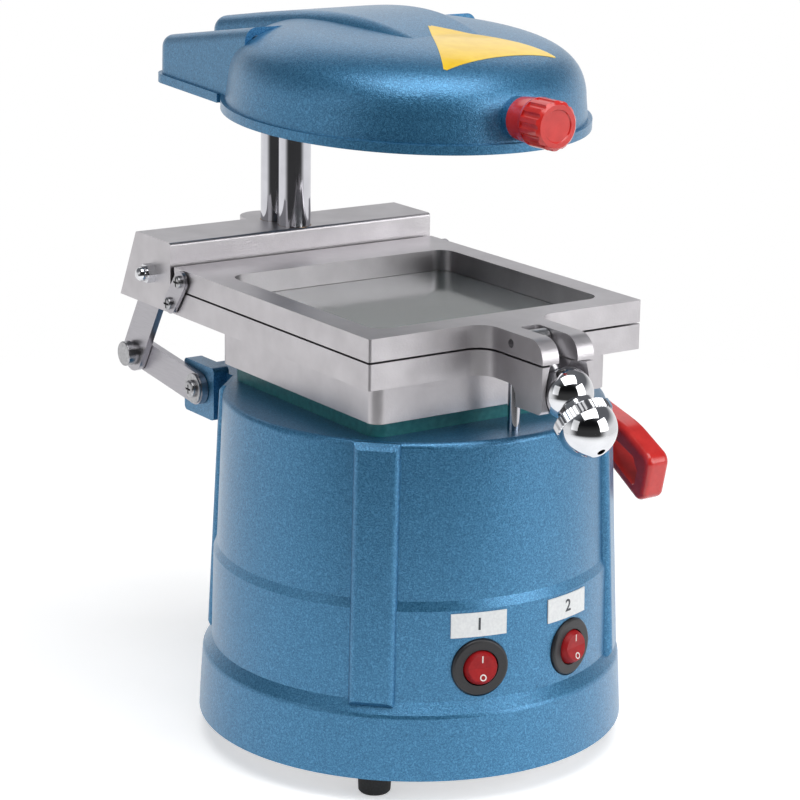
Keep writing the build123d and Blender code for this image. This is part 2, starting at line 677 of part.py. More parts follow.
def lower_lug_web():
    """The deep part of the lower lug, with a curved step up to the frame."""
    face = make_face(
        Plane.YZ
        * (
            Line((LUG_NOSE, LOWER_FRAME_Z + 1), (LUG_NOSE, LUG_WEB_Z + 1.5))
            + Line((LUG_NOSE, LUG_WEB_Z + 1.5), (LUG_NOSE + 1.5, LUG_WEB_Z))
            + Line((LUG_NOSE + 1.5, LUG_WEB_Z), (LUG_WEB_REAR, LUG_WEB_Z))
            + Line((LUG_WEB_REAR, LUG_WEB_Z), (LUG_WEB_REAR, LOWER_FRAME_Z - 5))
            + RadiusArc((LUG_WEB_REAR, LOWER_FRAME_Z - 5), (LUG_WEB_REAR + 5, LOWER_FRAME_Z), 5)
            + Line((LUG_WEB_REAR + 5, LOWER_FRAME_Z), (LUG_WEB_REAR + 5, LOWER_FRAME_Z + 1))
            + Line((LUG_WEB_REAR + 5, LOWER_FRAME_Z + 1), (LUG_NOSE, LOWER_FRAME_Z + 1))
        )
    )
    return side_slab(face, -LUG_HALF_WIDTH, LUG_HALF_WIDTH)


def skirt_plan(inset):
    """Plan of the skirt, moved in by its wall."""
    depth = SKIRT_REAR - SKIRT_FRONT - 2 * inset
    return RectangleRounded(2 * (SKIRT_HALF_WIDTH - inset), depth, SKIRT_CORNER - inset)


def carriage_skirt():
    """The thin wall let into the lower frame that drops around the gasket."""
    low = LOWER_FRAME_Z - SKIRT_DEPTH
    at = Pos(0, (SKIRT_FRONT + SKIRT_REAR) / 2, low)
    wall = at * extrude(skirt_plan(0) - skirt_plan(SKIRT_WALL), SKIRT_DEPTH + SKIRT_SEAT)
    # the front wall arches up between its corners
    half = SKIRT_HALF_WIDTH - 9
    arch = make_face(
        Plane.XZ
        * (
            Spline((-half, low), (-half + 12, low + SKIRT_ARCH), tangents=[(1, 0.2), (1, 0)])
            + Line((-half + 12, low + SKIRT_ARCH), (half - 12, low + SKIRT_ARCH))
            + Spline((half - 12, low + SKIRT_ARCH), (half, low), tangents=[(1, 0), (1, -0.2)])
            + Line((half, low), (half, low - 2))
            + Line((half, low - 2), (-half, low - 2))
            + Line((-half, low - 2), (-half, low))
        )
    )
    return wall - Pos(0, SKIRT_FRONT + 10, 0) * extrude(arch, 20)


def rear_bracket():
    """Cheeks, top plate and front wall round a hollow, with a solid core for the posts."""
    low = LOWER_FRAME_Z
    points = [
        (BRACKET_FRONT, low),
        (BRACKET_FRONT, BRACKET_TOP_Z),
        (BRACKET_REAR_HIGH, BRACKET_TOP_Z),
        (BRACKET_REAR_LOW, low),
    ]
    face = side_face(points)
    body = side_slab(face, -BRACKET_HALF_WIDTH, BRACKET_HALF_WIDTH)
    body = fillet([e for e in body.edges().filter_by(Axis.X) if e.center().Z > low + 5], 1.5)
    core = 24.0
    for side in (-1, 1):
        inner = sorted((side * core, side * (BRACKET_HALF_WIDTH - BRACKET_WALL)))
        hollow = side_face(
            [
                (BRACKET_FRONT + 5, low - 1),
                (BRACKET_FRONT + 5, BRACKET_TOP_Z - 5),
                (BRACKET_REAR_HIGH + 3, BRACKET_TOP_Z - 5),
                (BRACKET_REAR_LOW + 6, low - 1),
            ]
        )
        body -= side_slab(hollow, *inner)
    # the boss that carries the rear post bush
    body += upright(0, REAR_POST_Y + 9, low, BRACKET_TOP_Z, 12.5)
    for y in (FRONT_POST_Y, REAR_POST_Y):
        body -= upright(0, y, low - 1, BRACKET_TOP_Z + 1, POST_RADIUS + FACE_GAP)
    for side in (-1, 1):
        edge = side * (BRACKET_HALF_WIDTH + 1)
        inside = side * (BRACKET_HALF_WIDTH - BRACKET_WALL - 1)
        body -= across(LINK_TOP_Y, LINK_TOP_Z, inside, edge, LINK_PIN_RADIUS)
    return body


def lower_frame():
    """The frame that the sheet lies on; its rear edge is joined to the bracket."""
    plan = frame_plan(FRAME_HALF_WIDTH, FRAME_FRONT, BRACKET_FRONT)
    body = Pos(0, 0, LOWER_FRAME_Z) * extrude(plan, LOWER_FRAME_THICKNESS)
    body -= opening_cut(SKIRT_INNER, LOWER_FRAME_Z - 1, LOWER_FRAME_TOP + 1)
    seat = extrude(skirt_plan(0), 1 + SKIRT_SEAT)
    body -= Pos(0, (SKIRT_FRONT + SKIRT_REAR) / 2, LOWER_FRAME_Z - 1) * seat
    body += lower_lug_web()
    body -= fork_cut(LUG_WEB_Z - 5, LOWER_FRAME_TOP + 1)
    body -= ball_seat()
    body -= upright(0, GUIDE_PIN_Y, LOWER_FRAME_Z - 1, LOWER_FRAME_Z + 7.5, GUIDE_PIN_RADIUS + 0.3)
    for side in (-1, 1):
        edge = side * BRACKET_HALF_WIDTH
        depth = edge - 8 * side
        body -= across(HINGE_SCREW_Y, HINGE_SCREW_Z, depth, edge + side, HINGE_SCREW_RADIUS)
    return body


def forming_sheet():
    half = SHEET_SIDE / 2
    return block(
        (-half, half),
        (OPENING_MIDDLE - half, OPENING_MIDDLE + half),
        (LOWER_FRAME_TOP, LOWER_FRAME_TOP + SHEET_THICKNESS),
    )


def upper_frame():
    plan = frame_plan(FRAME_HALF_WIDTH, FRAME_FRONT, FRAME_REAR)
    body = Pos(0, 0, UPPER_FRAME_Z) * extrude(plan, UPPER_FRAME_THICKNESS)
    body -= opening_cut(OPENING_HALF_WIDTH, UPPER_FRAME_Z - 1, UPPER_FRAME_TOP + 1)
    rear_low = [
        e
        for e in body.edges().filter_by(Axis.X)
        if abs(e.center().Y - FRAME_REAR) < 0.01 and e.center().Z < UPPER_FRAME_Z + 0.1
    ]
    body = fillet(rear_low, FRAME_REAR - HINGE_Y - 0.1)
    nose = [
        e
        for e in body.edges().filter_by(Axis.X)
        if abs(e.center().Y - LUG_NOSE) < 0.01 and e.center().Z > UPPER_FRAME_Z + 1
    ]
    body = fillet(nose, UPPER_FRAME_THICKNESS - 1.2)
    body -= fork_cut(UPPER_FRAME_Z - 1, UPPER_FRAME_TOP + 1)
    body -= across(CLAMP_Y, CLAMP_Z, -LUG_HALF_WIDTH - 1, LUG_HALF_WIDTH + 1, CLAMP_PIN_RADIUS)
    for side in (-1, 1):
        edge = side * FRAME_HALF_WIDTH
        body -= across(HINGE_Y, HINGE_Z, edge - 9 * side, edge + side, HINGE_SCREW_RADIUS + FIT_GAP)
    return body


def cross_recess(face, y, z, side):
    """The cross in a screw head whose face looks along X."""
    bars = Box(2.4, 0.9, 4.2) + Box(2.4, 4.2, 0.9)
    return Pos(face - side * 0.2, y, z) * bars


def hinge_plates():
    inner = BRACKET_HALF_WIDTH + 0.05
    outer = inner + HINGE_PLATE_THICKNESS
    plate = link_bar(
        (HINGE_Y, HINGE_Z), (HINGE_SCREW_Y, HINGE_SCREW_Z), HINGE_PLATE_RADIUS, inner, outer
    )
    for y, z in ((HINGE_Y, HINGE_Z), (HINGE_SCREW_Y, HINGE_SCREW_Z)):
        plate -= across(y, z, inner - 1, outer + 1, HINGE_SCREW_RADIUS)
    return group([plate, mirrored(plate)])


def hinge_screws():
    start = BRACKET_HALF_WIDTH + 0.05 + HINGE_PLATE_THICKNESS
    solids = []
    for y, z in ((HINGE_Y, HINGE_Z), (HINGE_SCREW_Y, HINGE_SCREW_Z)):
        head = across(y, z, start, start + 2.0, 2.8)
        head = fillet(head.edges().group_by(Axis.X)[-1], 1.2)
        screw = head + across(y, z, start - 8.5, start, HINGE_SCREW_RADIUS)
        screw -= cross_recess(start + 2.0, y, z, 1)
        solids += [screw, mirrored(screw)]
    return group(solids)


def post_bushes():
    solids = []
    for y in (FRONT_POST_Y, REAR_POST_Y):
        for low in (LOWER_FRAME_Z, BRACKET_TOP_Z - 6):
            ring = upright(0, y, low, low + 6, POST_RADIUS + FACE_GAP)
            solids.append(ring - upright(0, y, low - 1, low + 7, POST_RADIUS + FIT_GAP))
    return group(solids)


# ---------------------------------------------------------------- clamp
CLAMP_PLANE = Plane(
    origin=(0, CLAMP_Y, CLAMP_Z),
    x_dir=(1, 0, 0),
    z_dir=(0, -cos(radians(CLAMP_ANGLE)), -sin(radians(CLAMP_ANGLE))),
)


def clamp_pin():
    half = LUG_HALF_WIDTH - 2.5
    return across(CLAMP_Y, CLAMP_Z, -half, half, CLAMP_PIN_RADIUS)


def swing_bolt():
    half = FORK_HALF_WIDTH - FACE_GAP
    eye = Rot(0, 90, 0) * Cylinder(BOLT_EYE_RADIUS, 2 * half)
    shank = Pos(0, 0, BOLT_LENGTH / 2) * Cylinder(BOLT_RADIUS, BOLT_LENGTH)
    bolt = eye + shank - Rot(0, 90, 0) * Cylinder(CLAMP_PIN_RADIUS + FIT_GAP, 4 * half)
    return CLAMP_PLANE * bolt


def ball_nut():
    """Polished ball with a neck that flares towards the knob."""
    reach = BALL_NUT_REACH
    ball = Pos(0, 0, reach) * Sphere(BALL_NUT_RADIUS)
    start = KNOB_REACH - COLLAR_WIDTH - 1.6
    profile = [
        (0, reach),
        (8.6, reach + 5.5),
        (8.0, reach + 7.6),
        (8.5, start - 1.3),
        (9.6, start),
        (0, start),
    ]
    ball += revolved(profile)
    ball -= Pos(0, 0, reach - 14.5) * Cylinder(20, 10)
    ball -= Pos(0, 0, reach) * Cylinder(BOLT_RADIUS + FIT_GAP, 60)
    return CLAMP_PLANE * ball


def knurled_collar():
    start = KNOB_REACH - COLLAR_WIDTH - 1.5
    points = []
    for step in range(2 * KNURLS):
        radius = KNOB_RADIUS - (0.45 if step % 2 else 0)
        points += polar_points(radius, [180 * step / KNURLS])
    disc = extrude(make_face(Polyline(*points, close=True)), COLLAR_WIDTH)
    limit = Cylinder(KNOB_RADIUS, COLLAR_WIDTH, align=(Align.CENTER, Align.CENTER, Align.MIN))
    disc &= chamfer(limit.edges().filter_by(GeomType.CIRCLE), 0.7)
    collar = Pos(0, 0, start) * disc
    return CLAMP_PLANE * (collar - Pos(0, 0, start) * Cylinder(BOLT_RADIUS + FIT_GAP, 60))


def ball_cap():
    start = KNOB_REACH - 1.5
    cap = Pos(0, 0, KNOB_REACH) * Sphere(KNOB_RADIUS - 0.3)
    cap -= Pos(0, 0, start - 10) * Box(40, 40, 20)
    cap += Pos(0, 0, start + 0.4) * Cylinder(KNOB_RADIUS - 1.2, 0.8)
    cap -= Pos(0, 0, BOLT_LENGTH + 0.5 - 5) * Cylinder(BOLT_RADIUS + FIT_GAP, 10)
    return CLAMP_PLANE * (cap - Pos(0, 0, KNOB_REACH + 9) * Cylinder(1.75, 10))


# ---------------------------------------------------------------- linkage
def link_bolts():
    edge = BRACKET_HALF_WIDTH
    bolt = across(LINK_TOP_Y, LINK_TOP_Z, LINK_INNER_X - 4, edge + 5, LINK_PIN_RADIUS)
    bolt += across(LINK_TOP_Y, LINK_TOP_Z, LINK_INNER_X - 4, LINK_INNER_X - FACE_GAP, 4.2)
    return group([bolt, mirrored(bolt)])


def acorn_nuts():
    edge = BRACKET_HALF_WIDTH
    face = Plane.YZ * RegularPolygon(4.6, 6)
    hexagon = Pos(edge, LINK_TOP_Y, LINK_TOP_Z) * extrude(face, 4, dir=(1, 0, 0))
    nut = hexagon + across(LINK_TOP_Y, LINK_TOP_Z, edge + 3.5, edge + 5.2, 3.4)
    nut += Pos(edge + 5.2, LINK_TOP_Y, LINK_TOP_Z) * Sphere(3.4)
    nut -= across(LINK_TOP_Y, LINK_TOP_Z, edge - 5, edge + 5, LINK_PIN_RADIUS)
    return group([nut, mirrored(nut)])


def link_arm():
    outer = LINK_INNER_X + LINK_THICKNESS
    arm = link_bar(
        (LINK_TOP_Y, LINK_TOP_Z), (ELBOW_Y, ELBOW_Z), LINK_HALF_WIDTH, LINK_INNER_X, outer
    )
    arm -= across(LINK_TOP_Y, LINK_TOP_Z, 0, 100, LINK_PIN_RADIUS + FIT_GAP)
    return arm - across(ELBOW_Y, ELBOW_Z, 0, 100, LINK_PIN_RADIUS)


def elbow_pins():
    outer = LINK_INNER_X + LINK_THICKNESS
    tip = CRANK_INNER_X - 1.5
    pin = across(ELBOW_Y, ELBOW_Z, tip, outer + 4.5, LINK_PIN_RADIUS)
    washer = across(ELBOW_Y, ELBOW_Z, outer, outer + 1.0, 5.0)
    head = across(ELBOW_Y, ELBOW_Z, outer + 1.4, outer + 4.8, ELBOW_HEAD_RADIUS)
    head = fillet(head.edges().group_by(Axis.X)[-1], 0.6)
    collar = across(ELBOW_Y, ELBOW_Z, outer + 0.9, outer + 1.5, 3.8)
    pin += washer + collar + head
    return group([pin, mirrored(pin)])


def crank():
    outer = CRANK_INNER_X + LINK_THICKNESS
    bar = link_bar(
        (SHAFT_Y, SHAFT_Z), (ELBOW_Y, ELBOW_Z), CRANK_HALF_WIDTH, CRANK_INNER_X, outer
    )
    bar -= across(SHAFT_Y, SHAFT_Z, 0, 100, SHAFT_RADIUS)
    return bar - across(ELBOW_Y, ELBOW_Z, 0, 100, LINK_PIN_RADIUS + ELBOW_PLAY)


def lever_shaft():
    left = -CRANK_INNER_X - LINK_THICKNESS
    right = LEVER_BAR_X + LEVER_BAR_THICKNESS
    return across(SHAFT_Y, SHAFT_Z, left, right, SHAFT_RADIUS)


def crank_screw(start, side):
    """A washer and a pan-head screw on the end of the shaft."""
    washer = across(SHAFT_Y, SHAFT_Z, start, start + side * 1.0, CRANK_HALF_WIDTH - 0.6)
    head = across(SHAFT_Y, SHAFT_Z, start + side * 0.9, start + side * 3.2, 4.0)
    ends = head.edges().group_by(Axis.X)
    head = fillet(ends[-1] if side > 0 else ends[0], 1.5)
    return washer + head - cross_recess(start + side * 3.2, SHAFT_Y, SHAFT_Z, side)


def shaft_screws():
    left = -CRANK_INNER_X - LINK_THICKNESS
    right = LEVER_BAR_X + LEVER_BAR_THICKNESS
    return group([crank_screw(left, -1), crank_screw(right, 1)])


# the lever in its own plane: u runs from the shaft towards the grip, v is up across it


def lever_point(u, v):
    """(y, z) of a place on the lever, u along it and v above it."""
    a = radians(LEVER_DROP)
    return (SHAFT_Y - u * cos(a) - v * sin(a), SHAFT_Z - u * sin(a) + v * cos(a))


def lever_bar():
    """Flat steel bar from the shaft, bent out round the casting and into the grip."""
    inside = LEVER_BAR_X
    outside = GRIP_INNER_X + GRIP_WIDTH / 2 - LEVER_BAR_THICKNESS / 2
    bend, meet, end = 9.0, GRIP_START - 5, GRIP_START + 20
    t = LEVER_BAR_THICKNESS
    plan = [
        (0, inside),
        (bend, inside),
        (meet, outside),
        (end, outside),
        (end, outside + t),
        (meet - 1, outside + t),
        (bend - 1, inside + t),
        (0, inside + t),
    ]
    drop = radians(LEVER_DROP)
    # the plan lies in a plane through the shaft: its X runs along the lever, its Y is +X
    at = Plane(
        origin=(0, SHAFT_Y, SHAFT_Z), x_dir=(0, -cos(drop), -sin(drop)), z_dir=(0, -sin(drop), cos(drop))
    )
    bar = extrude(make_face(at * Polyline(*plan, close=True)), LEVER_BAR_HALF_WIDTH, both=True)
    bar += across(SHAFT_Y, SHAFT_Z, inside, inside + t, LEVER_HUB_RADIUS)
    return bar - across(SHAFT_Y, SHAFT_Z, 0, 100, SHAFT_RADIUS)


def lever_handle():
    """Moulded D-shaped grip: a bowed bar, a blunt end and a thin bar below the finger hole."""
    outline = [
        (GRIP_START, -5.6, 3),
        (GRIP_START, 5.6, 3),
        (82, 8.2, 60),
        (108, 7.4, 50),
        (131.5, 1.2, 6),
        (131.3, -18.4, 4),
        (127.2, -22.0, 4),
        (94, -11.4, 60),
        (72, -6.6, 60),
    ]
    hole = [(88, -1.5), (106, -0.2), (120, -2.5), (124.2, -8), (124.2, -16), (106, -10.2), (88, -5)]
    outer = side_face([lever_point(u, v) for u, v, _ in outline])
    for u, v, radius in outline:
        y, z = lever_point(u, v)
        corner = [p for p in outer.vertices() if hypot(p.Y - y, p.Z - z) < 0.05]
        outer = fillet(corner, radius)
    inner = side_face([lever_point(*p) for p in hole])
    inner = fillet(inner.vertices(), 1.6)
    body = side_slab(outer, GRIP_INNER_X, GRIP_INNER_X + GRIP_WIDTH)
    body = fillet([e for e in body.edges() if e.bounding_box().size.X < 0.01], GRIP_ROUND)
    body -= side_slab(inner, GRIP_INNER_X - 1, GRIP_INNER_X + GRIP_WIDTH + 1)
    return body - lever_bar()


# ---------------------------------------------------------------- heater head
HEAD_PLACE = Pos(0, 0, HEAD_LIP_Z) * Rot(HEAD_RAKE, 0, 0)


def head_dome(inset, low):
    """The oval part of the cover: a crowned turned shape, stretched along Y."""
    half = HEAD_HALF_WIDTH - inset
    top = HEAD_HEIGHT + LIP_BEAD - inset
    wall_top = 13.0
    crown = Bezier((half - 1.6, wall_top), (half - 2.8, top - 3.0), (half * 0.66, top), (0, top))
    lines = Line((0, low), (half, low)) + Line((half, low), (half - 1.6, wall_top)) + crown
    lines += Line((0, top), (0, low))
    turned = revolve(make_face(Plane.XZ * lines), Axis.Z, 360)
    stretch = (HEAD_HALF_LENGTH - inset) / half
    return Pos(0, HEAD_CENTRE_Y, 0) * scale(turned, by=(1, stretch, 1))


def head_box(inset, low):
    """The squared rear part of the cover, with a top that rises towards the dome."""
    half = HEAD_BOX_HALF_WIDTH - inset
    rear = HEAD_BOX_REAR - LIP_BEAD - inset
    high = HEAD_BOX_HEIGHT + LIP_BEAD - inset
    near = 45
    face = side_face([(near, low), (near, high + HEAD_BOX_RISE * (rear - near)), (rear, high), (rear, low)])
    body = side_slab(face, -half, half)
    edges = [e for e in body.edges().filter_by(Axis.Z) if e.center().Y > rear - 1]
    body = fillet(edges, 10 - inset)
    rim = [e for e in body.faces().sort_by(Axis.Z)[-1].edges() if e.center().Y > near + 1]
    return fillet(rim, 7 - inset)


def head_keel(inset, low):
    """The raised spine that runs from the rear over the crown and fades at the front."""
    top = KEEL_HEIGHT + LIP_BEAD - inset
    rear = HEAD_BOX_REAR - LIP_BEAD - inset
    front = -62
    points = ((front, 18.4), (-42, 9.8), (-21, 4.4), (14, 0), (60, 3.2), (rear, 15.0))  # y and the fall of the crest
    crest = Spline(*[(y, top - fall) for y, fall in points])
    sides = Line((rear, top - 15), (rear, low)) + Line((rear, low), (front, low))
    sides += Line((front, low), (front, top - 18.4))
    body = side_slab(make_face(Plane.YZ * (crest + sides)), -50, 50)
    wide, narrow = KEEL_HALF_WIDTH - inset, KEEL_FRONT_HALF_WIDTH - inset
    plan = make_face(Polyline((-wide, rear), (-narrow, front), (narrow, front), (wide, rear), close=True))
    plan = fillet([v for v in plan.vertices() if v.Y > 0], 9 - inset)
    body &= Pos(0, 0, low) * extrude(plan, 60)
    edges = [e for e in body.edges() if e.center().Z > top - 17 and e.center().Y > front + 1]
    return fillet(edges, max(KEEL_ROUND - inset, 0.6))


def lip_bead():
    """The rounded rim that runs all the way round the lower edge of the cover."""
    oval = scale(Circle(HEAD_HALF_WIDTH), by=(1, HEAD_HALF_LENGTH / HEAD_HALF_WIDTH, 1))
    plan = Pos(0, HEAD_CENTRE_Y, 0) * oval
    box = Rectangle(2 * HEAD_BOX_HALF_WIDTH, 60)
    box = fillet([v for v in box.vertices() if v.Y > 0], 11)
    plan += Pos(0, HEAD_BOX_REAR - 30, 0) * box
    return extrude(plan, LIP_BEAD_HEIGHT)


def heater_cover():
    body = head_dome(LIP_BEAD, 0) + head_box(LIP_BEAD, 0) + head_keel(LIP_BEAD, 8) + lip_bead()
    inset = LIP_BEAD + HEAD_WALL
    body -= head_dome(inset, -1) + head_box(inset, -1) + head_keel(inset, -1)
    # the hub inside the rear, bored for the post and tied to the rear wall
    hub = upright(0, REAR_POST_Y, 4, HEAD_BOX_HEIGHT + 4, HUB_RADIUS)
    hub += block((-HUB_RADIUS, HUB_RADIUS), (REAR_POST_Y, HEAD_BOX_REAR - 3), (4, 16))
    # bosses that hold the reflector, and the stud boss behind the front wall
    bosses = [upright(x, OPENING_MIDDLE, REFLECTOR_TOP, HEAD_HEIGHT - 2, 4) for x in (-30, 30)]
    body = HEAD_PLACE * (body + hub + bosses[0] + bosses[1])
    body += rod((0, HEATER_KNOB_SEAT_Y, HEATER_KNOB_Z), (0, -62, HEATER_KNOB_Z), 8.6)
    body -= upright(0, REAR_POST_Y, 200, REAR_POST_TOP + FACE_GAP, POST_RADIUS + FIT_GAP)
    return body - rod((0, -50, HEATER_KNOB_Z), (0, -90, HEATER_KNOB_Z), KNOB_STUD_RADIUS)


def heater_reflector():
    """Shallow round tray of bright sheet that sends the heat down."""
    edge, top = REFLECTOR_RADIUS, REFLECTOR_TOP
    profile = [
        (0, REFLECTOR_Z),
        (edge - 5, REFLECTOR_Z),
        (edge - REFLECTOR_SHEET, REFLECTOR_Z - 4),
        (edge - REFLECTOR_SHEET, 6),
        (edge, 6),
        (edge, REFLECTOR_Z - 3.4),
        (edge - 4.5, top),
        (0, top),
    ]
    tray = revolved(profile)
    for x, y in element_ends():
        tray -= upright(x, y, 0, 30, 3.4)
    return HEAD_PLACE * Pos(0, OPENING_MIDDLE, 0) * tray


def element_ends():
    """The two places where a cold end stands up from the heating rod."""
    inner, outer = ELEMENT_RINGS
    return polar_points(outer, [ELEMENT_START + 4]) + polar_points(inner, [ELEMENT_FINISH + 7])


def element_arc(centre, radius, start, size):
    """A piece of the heating rod bent round a centre, from one angle through another."""
    turned = revolve(Plane.XZ * Pos(radius, 0) * Circle(ELEMENT_RADIUS), Axis.Z, size)
    return Pos(*centre, 0) * Rot(0, 0, start) * turned


def heater_element():
    """Tubular heating rod: an outer loop, a turn back and an inner loop, with upright cold ends."""
    inner, outer = ELEMENT_RINGS
    bend = (outer - inner) / 2
    centre = polar_points(inner + bend, [ELEMENT_TURN])[0]
    body = element_arc((0, 0), outer, ELEMENT_START, 360 + ELEMENT_TURN - ELEMENT_START)
    body += element_arc(centre, bend, ELEMENT_TURN, 180)
    body += element_arc((0, 0), inner, ELEMENT_FINISH, 360 + ELEMENT_TURN - ELEMENT_FINISH)
    for x, y in element_ends():
        body += upright(x, y, 0, 14, 2.4)
    return HEAD_PLACE * Pos(0, OPENING_MIDDLE, ELEMENT_Z) * body


def element_clips():
    solids = []
    for angle in (150, 270, 30):
        bar = block((20, 53), (-4, 4), (ELEMENT_Z + ELEMENT_RADIUS, REFLECTOR_Z))
        solids.append(HEAD_PLACE * Pos(0, OPENING_MIDDLE, 0) * Rot(0, 0, angle) * bar)
    return group(solids)


def heater_knob():
    """Grip with a smooth collar at the wall, flutes on its outer half and a ring in its face."""
    length = HEATER_KNOB_LENGTH
    radius = HEATER_KNOB_RADIUS
    profile = [
        (0, 0),
        (radius - 1.2, 0),
        (radius - 0.4, 9),
        (radius, 10.5),
        (radius, length - 1.4),
        (radius - 1.4, length),
        (radius - 3.4, length),
        (radius - 3.8, length - 0.6),
        (0, length - 0.6),
    ]
    body = revolved(profile)
    angles = [360 * n / HEATER_KNOB_FLUTES for n in range(HEATER_KNOB_FLUTES)]
    for x, w in polar_points(radius + 1.0, angles):
        body -= upright(x, w, 10.8, length + 1, 1.7)
    body -= upright(0, 0, -1, 15, KNOB_STUD_RADIUS)
    return Plane(origin=(0, HEATER_KNOB_SEAT_Y, HEATER_KNOB_Z), x_dir=(1, 0, 0), z_dir=(0, -1, 0)) * body


def knob_stud():
    seat = HEATER_KNOB_SEAT_Y
    return rod((0, seat + 14, HEATER_KNOB_Z), (0, seat - 15, HEATER_KNOB_Z), KNOB_STUD_RADIUS)


# ---------------------------------------------------------------- write every node
NODES = {
    "base_housing": base_housing,
    "bottom_plate": bottom_plate,
    "rubber_feet": feet,
    "foot_screws": foot_screws,
    "vacuum_plate": vacuum_plate,
    "seal_gasket": gasket,
    "guide_pin": guide_pin,
    "front_post": front_post,
    "rear_post": rear_post,
    "shaft_bushes": shaft_bushes,
    "cord_gland": cord_gland,
    "left_switch_body": lambda: switch_plane(-1) * switch_body(),
    "right_switch_body": lambda: switch_plane(1) * switch_body(),
    "left_rocker": lambda: switch_plane(-1) * rocker(),
    "right_rocker": lambda: switch_plane(1) * rocker(),
    "vacuum_motor": vacuum_motor,
    "motor_plate": motor_plate,
    "fan_housing": fan_housing,
    "fan_impeller": impeller,
    "suction_ring": suction_ring,
    "lower_frame": lower_frame,
    "rear_bracket": rear_bracket,
    "carriage_skirt": carriage_skirt,
    "forming_sheet": forming_sheet,
    "post_bushes": post_bushes,
    "hinge_plates": hinge_plates,
    "hinge_screws": hinge_screws,
    "link_bolts": link_bolts,
    "acorn_nuts": acorn_nuts,
    "upper_frame": upper_frame,
    "clamp_pin": clamp_pin,
    "swing_bolt": swing_bolt,
    "ball_nut": ball_nut,
    "knurled_collar": knurled_collar,
    "ball_cap": ball_cap,
    "left_link_arm": lambda: mirrored(link_arm()),
    "right_link_arm": link_arm,
    "elbow_pins": elbow_pins,
    "lever_shaft": lever_shaft,
    "left_crank": lambda: mirrored(crank()),
    "right_crank": crank,
    "shaft_screws": shaft_screws,
    "lever_bar": lever_bar,
    "lever_handle": lever_handle,
    "heater_cover": heater_cover,
    "heater_reflector": heater_reflector,
    "heater_element": heater_element,
    "element_clips": element_clips,
    "heater_knob": heater_knob,
    "knob_stud": knob_stud,
}

for name, make in NODES.items():
    save(name, make())
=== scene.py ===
# %% [markdown]
# # Dental vacuum former, dressed for its looks
#
# The machine is already built as solids: a painted base, a lever linkage, a hinged sheet frame and a
# swinging heater head. They come in as a fixed frame, in metres, with +Z up. This lesson gives each
# solid the finish of the real one and adds what is too thin for a solid: number plates, switch
# marks, a plain decal and the studio. A solid is never moved, so every piece added here is placed
# by the same measures that the solids use.
# %% Load the frame
import json
import math
import bmesh
import bpy
from mathutils import Matrix, Vector


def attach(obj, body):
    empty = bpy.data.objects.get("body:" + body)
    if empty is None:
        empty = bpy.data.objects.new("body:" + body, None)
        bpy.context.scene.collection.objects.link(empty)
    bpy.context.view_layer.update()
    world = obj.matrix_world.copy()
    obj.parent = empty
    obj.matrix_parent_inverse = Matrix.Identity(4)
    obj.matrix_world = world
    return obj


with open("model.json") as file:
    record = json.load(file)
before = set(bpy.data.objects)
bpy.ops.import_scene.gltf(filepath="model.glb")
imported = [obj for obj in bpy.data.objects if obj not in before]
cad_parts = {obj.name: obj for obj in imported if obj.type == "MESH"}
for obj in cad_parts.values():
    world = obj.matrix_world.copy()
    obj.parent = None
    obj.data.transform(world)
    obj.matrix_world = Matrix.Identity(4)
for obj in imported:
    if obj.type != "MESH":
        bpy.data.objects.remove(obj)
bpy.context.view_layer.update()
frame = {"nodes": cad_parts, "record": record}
nodes = frame["nodes"]
MM = 0.001

# %% [markdown]
# ## The camera
#
# It looks down on the front left corner of the machine through a long lens, so that upright lines stay
# nearly parallel. Distance, turn and tilt are set to the view in which the machine is usually shown: a
# longer lens from further away would flatten it, a shorter one would splay the base.
# %% Camera
CAMERA_TURN, CAMERA_TILT, CAMERA_ROLL = (math.radians(a) for a in (-34.75, 15.11, 0.97))
CAMERA_DISTANCE = 1.1706
CAMERA_AIM = Vector((0, 0, 0.1512))


def aim_camera():
    """Stand the camera on a sphere round the aim point, with a small roll."""
    back = Vector(
        (
            math.sin(CAMERA_TURN) * math.cos(CAMERA_TILT),
            -math.cos(CAMERA_TURN) * math.cos(CAMERA_TILT),
            math.sin(CAMERA_TILT),
        )
    )
    right = Vector((math.cos(CAMERA_TURN), math.sin(CAMERA_TURN), 0))
    up = back.cross(right)
    across = right * math.cos(CAMERA_ROLL) + up * math.sin(CAMERA_ROLL)
    rise = up * math.cos(CAMERA_ROLL) - right * math.sin(CAMERA_ROLL)
    turned = Matrix((across, rise, back)).transposed().to_4x4()
    return Matrix.Translation(CAMERA_AIM + back * CAMERA_DISTANCE) @ turned


camera_data = bpy.data.cameras.new("camera")
camera_data.lens = 119.7
camera_data.sensor_width = 36
camera_data.shift_x = -0.018
camera_data.clip_start = 0.01
camera = bpy.data.objects.new("camera", camera_data)
camera.matrix_world = aim_camera()
bpy.context.scene.collection.objects.link(camera)
bpy.context.scene.camera = camera
bpy.context.scene.view_settings.view_transform = "Standard"
print("camera at", [round(v, 3) for v in camera.matrix_world.translation])

# %% [markdown]
# ## Two helpers for materials
#
# Colours are written as a painter would pick them on a screen, as sRGB hex, and one function turns
# them into the linear values that light is added up in. The other helper adds a node, sets it and
# wires it in one line, so that each material below reads like its recipe.
# %% Material helpers
def linear(code):
    """Linear RGBA from an sRGB hex colour."""
    values = [int(code[i : i + 2], 16) / 255 for i in (1, 3, 5)]
    return [v / 12.92 if v <= 0.04045 else ((v + 0.055) / 1.055) ** 2.4 for v in values] + [1]


